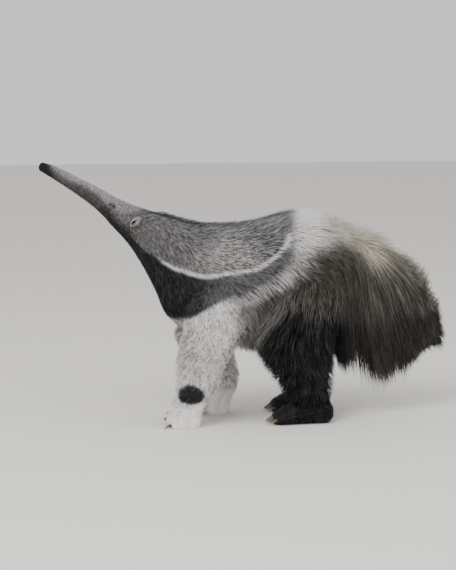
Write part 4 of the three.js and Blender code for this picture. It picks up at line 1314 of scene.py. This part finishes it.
# Claws: curved horn, dark at the root and worn paler at the tip. y runs from the hand's middle
# towards the body's middle.
foreClaws = {
    "1": {"long": 30, "radius": 5, "x": -36, "y": 27, "z": 60, "pose": "folded"},
    "2": {"long": 66, "radius": 9, "x": -46, "y": 24, "z": 42, "pose": "folded"},
    "3": {"long": 88, "radius": 11, "x": -48, "y": 18, "z": 22, "pose": "folded"},
    "4": {"long": 34, "radius": 6, "x": -50, "y": -18, "z": 14, "pose": "straight"},
}
# Where a claw points at its root, where it bends to, and how far in radians
clawPoses = {
    "folded": {"ahead": (-0.75, 0.62, -0.05), "bend": (1, 0.1, 0), "turn": 1.9},
    "straight": {"ahead": (-0.95, -0.15, -0.1), "bend": (0, 0, -1), "turn": 0.6},
}
hindClaws = {
    "count": 5, "long": 38, "radius": 6.5, "x": 94, "z": 20, "spread": 62, "bow": 40, "splay": 0.35,
    "rise": 0.05, "turn": 0.75,
}
clawForm = {"rings": 18, "sides": 16, "taper": 0.93, "keel": 0.18, "flat": 0.7}
clawColours = {"root": (31, 26, 23), "tip": (112, 97, 78)}


def clawMaterial():
    material, shader = newMaterial("claw", 0.38, 0.5)
    tree = material.node_tree
    noise = objectNoise(tree, (-900, -200), 320, 5)
    wearAndSheen = mathNode(tree, (-650, -100), "MULTIPLY", noise, 0.5)
    wearAndSheen = mathNode(tree, (-650, 100), "ADD", attributeValue(tree, (-900, 100), "tip"), wearAndSheen)
    paintAlong(tree, shader, wearAndSheen, ((0.35, clawColours["root"]), (1.0, clawColours["tip"])))
    addBump(tree, shader, noise, 0.0005)
    return material


materials["claw"] = clawMaterial()


# A claw bends along an arc. Its section is narrow, with a sharper lower edge.
def addClaw(bm, root, ahead, bend, long, radius, turn):
    ahead = unit(np.array(ahead, float))
    bend = np.array(bend, float)
    bend = unit(bend - ahead * (bend @ ahead))
    side = np.cross(ahead, bend)
    arc = long / turn
    tip = bm.verts.layers.float["tip"]
    made = bmesh.ops.create_grid(bm, x_segments=clawForm["rings"], y_segments=clawForm["sides"], size=1)
    for vert in made["verts"]:
        share, around = (vert.co.x + 1) / 2, vert.co.y * math.pi
        sin, cos = math.sin(turn * share), math.cos(turn * share)
        centre = root + (ahead * sin + bend * (1 - cos)) * arc
        size = radius * (1 - share ** 1.6 * clawForm["taper"])
        keel = 1 + clawForm["keel"] * max(0.0, math.cos(around)) ** 3
        offset = (bend * cos - ahead * sin) * math.cos(around) * size * keel
        offset = offset + side * math.sin(around) * size * clawForm["flat"]
        vert.co = Vector((centre + offset) * mm) + Vector(shift)
        vert[tip] = share


def startClaws():
    bm = bmesh.new()
    bm.verts.layers.float.new("tip")
    return bm


def finishClaws(name, bm):
    bmesh.ops.remove_doubles(bm, verts=bm.verts, dist=1e-6)
    bmesh.ops.holes_fill(bm, edges=[edge for edge in bm.edges if edge.is_boundary])
    bmesh.ops.recalc_face_normals(bm, faces=bm.faces)
    for vert in bm.verts:
        vert.co.z = max(vert.co.z, floorGap["claws"] * mm)
    return newPiece(name, meshOf(bm, name), materials["claw"])


def makeForeClaws(sideName, side):
    step = stance["rightForeStep"] if side > 0 else 0
    handX, handY = forelegSections["hand"][1], forelegSections["hand"][3]
    towardsMiddle = np.array((1, -side, 1))
    bm = startClaws()
    for form in foreClaws.values():
        pose = clawPoses[form["pose"]]
        root = np.array((handX + step + form["x"], side * (handY - form["y"]), form["z"]), float)
        ahead, bend = pose["ahead"] * towardsMiddle, pose["bend"] * towardsMiddle
        addClaw(bm, root, ahead, bend, form["long"], form["radius"], pose["turn"])
    return finishClaws("foreClaws" + sideName, bm)


def makeHindClaws(sideName, side):
    step = stance["rightHindStep"] if side > 0 else 0
    form = hindClaws
    bm = startClaws()
    for i in range(form["count"]):
        share = i / (form["count"] - 1) - 0.5
        x = form["x"] + step + form["bow"] * share * share
        root = np.array((x, side * hindfootAcross + share * form["spread"], form["z"]), float)
        ahead = (-1, share * form["splay"], form["rise"])
        addClaw(bm, root, ahead, (0, 0, -1), form["long"], form["radius"], form["turn"])
    return finishClaws("hindClaws" + sideName, bm)


claws = {}
for sideName, side in sides.items():
    claws["fore" + sideName] = makeForeClaws(sideName, side)
    claws["hind" + sideName] = makeHindClaws(sideName, side)
print("claws")


# Floor, light and camera. A light has its power, its size and its place.
studio = {
    "cameraTurn": -8, "cameraHeight": 8, "cameraFar": 6.0, "lens": 113, "lookX": -53.6, "lookZ": 458,
    "floorHalf": 12, "floorColour": (226, 224, 220), "worldLight": 0.9, "worldColour": (1, 0.99, 0.975, 1),
    "aimHeight": 0.4,
    "lights": {"key": (260, 3.0, (-2.4, -3.4, 4.6)), "fill": (90, 4.0, (3.6, -2.6, 2.6))},
}


def makeStudio():
    bm = bmesh.new()
    bmesh.ops.create_grid(bm, x_segments=2, y_segments=2, size=studio["floorHalf"])
    material, shader = newMaterial("floor", 0.9, 0.1)
    shader.inputs["Base Color"].default_value = colour(studio["floorColour"])
    newPiece("floor", meshOf(bm, "floor", smooth=False), material)
    world = bpy.data.worlds.new("studio")
    bpy.context.scene.world = world
    world.use_nodes = True
    background = world.node_tree.nodes["Background"]
    background.inputs["Color"].default_value = studio["worldColour"]
    background.inputs["Strength"].default_value = studio["worldLight"]
    for name, (power, size, place) in studio["lights"].items():
        light = bpy.data.lights.new(name, "AREA")
        light.energy = power
        light.size = size
        lamp = bpy.data.objects.new(name, light)
        lamp.location = place
        aim = Vector((0, 0, studio["aimHeight"])) - Vector(place)
        lamp.rotation_euler = aim.to_track_quat("-Z", "Y").to_euler()
        bpy.context.scene.collection.objects.link(lamp)


def makeCamera():
    target = Vector((studio["lookX"] * mm, 0, studio["lookZ"] * mm)) + Vector(shift)
    turn, height = math.radians(studio["cameraTurn"]), math.radians(studio["cameraHeight"])
    back = Vector((math.sin(turn) * math.cos(height), -math.cos(turn) * math.cos(height), math.sin(height)))
    data = bpy.data.cameras.new("camera")
    data.lens = studio["lens"]
    camera = bpy.data.objects.new("camera", data)
    camera.location = target + back * studio["cameraFar"]
    camera.rotation_euler = (-back).to_track_quat("-Z", "Y").to_euler()
    bpy.context.scene.collection.objects.link(camera)
    bpy.context.scene.camera = camera


makeStudio()
makeCamera()
print("studio")


# The solids that these pieces stand for are hidden, and each piece hangs from the root body
fleshNodes = ["snout", "head", "neck", "chest", "torso", "rump", "tail_base", "tail_middle", "tail_end"]
for limb in ("upper_arm", "forearm", "forefoot", "thigh", "shank", "hindfoot"):
    fleshNodes += [f"{limb}_{sideName.lower()}" for sideName in sides]
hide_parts(*fleshNodes)
for sideName in sides:
    lower = sideName.lower()
    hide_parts(f"eye_{lower}")
    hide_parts(f"ear_{lower}")
    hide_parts(*[f"fore_claw_{lower}_{name}" for name in foreClaws])
    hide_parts(*[f"hind_claw_{lower}_{i + 1}" for i in range(hindClaws["count"])])
pieces = [skin, *coat.values(), *eyes.values(), *lids.values(), *ears.values(), *claws.values()]
for piece in pieces:
    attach(piece, "root")
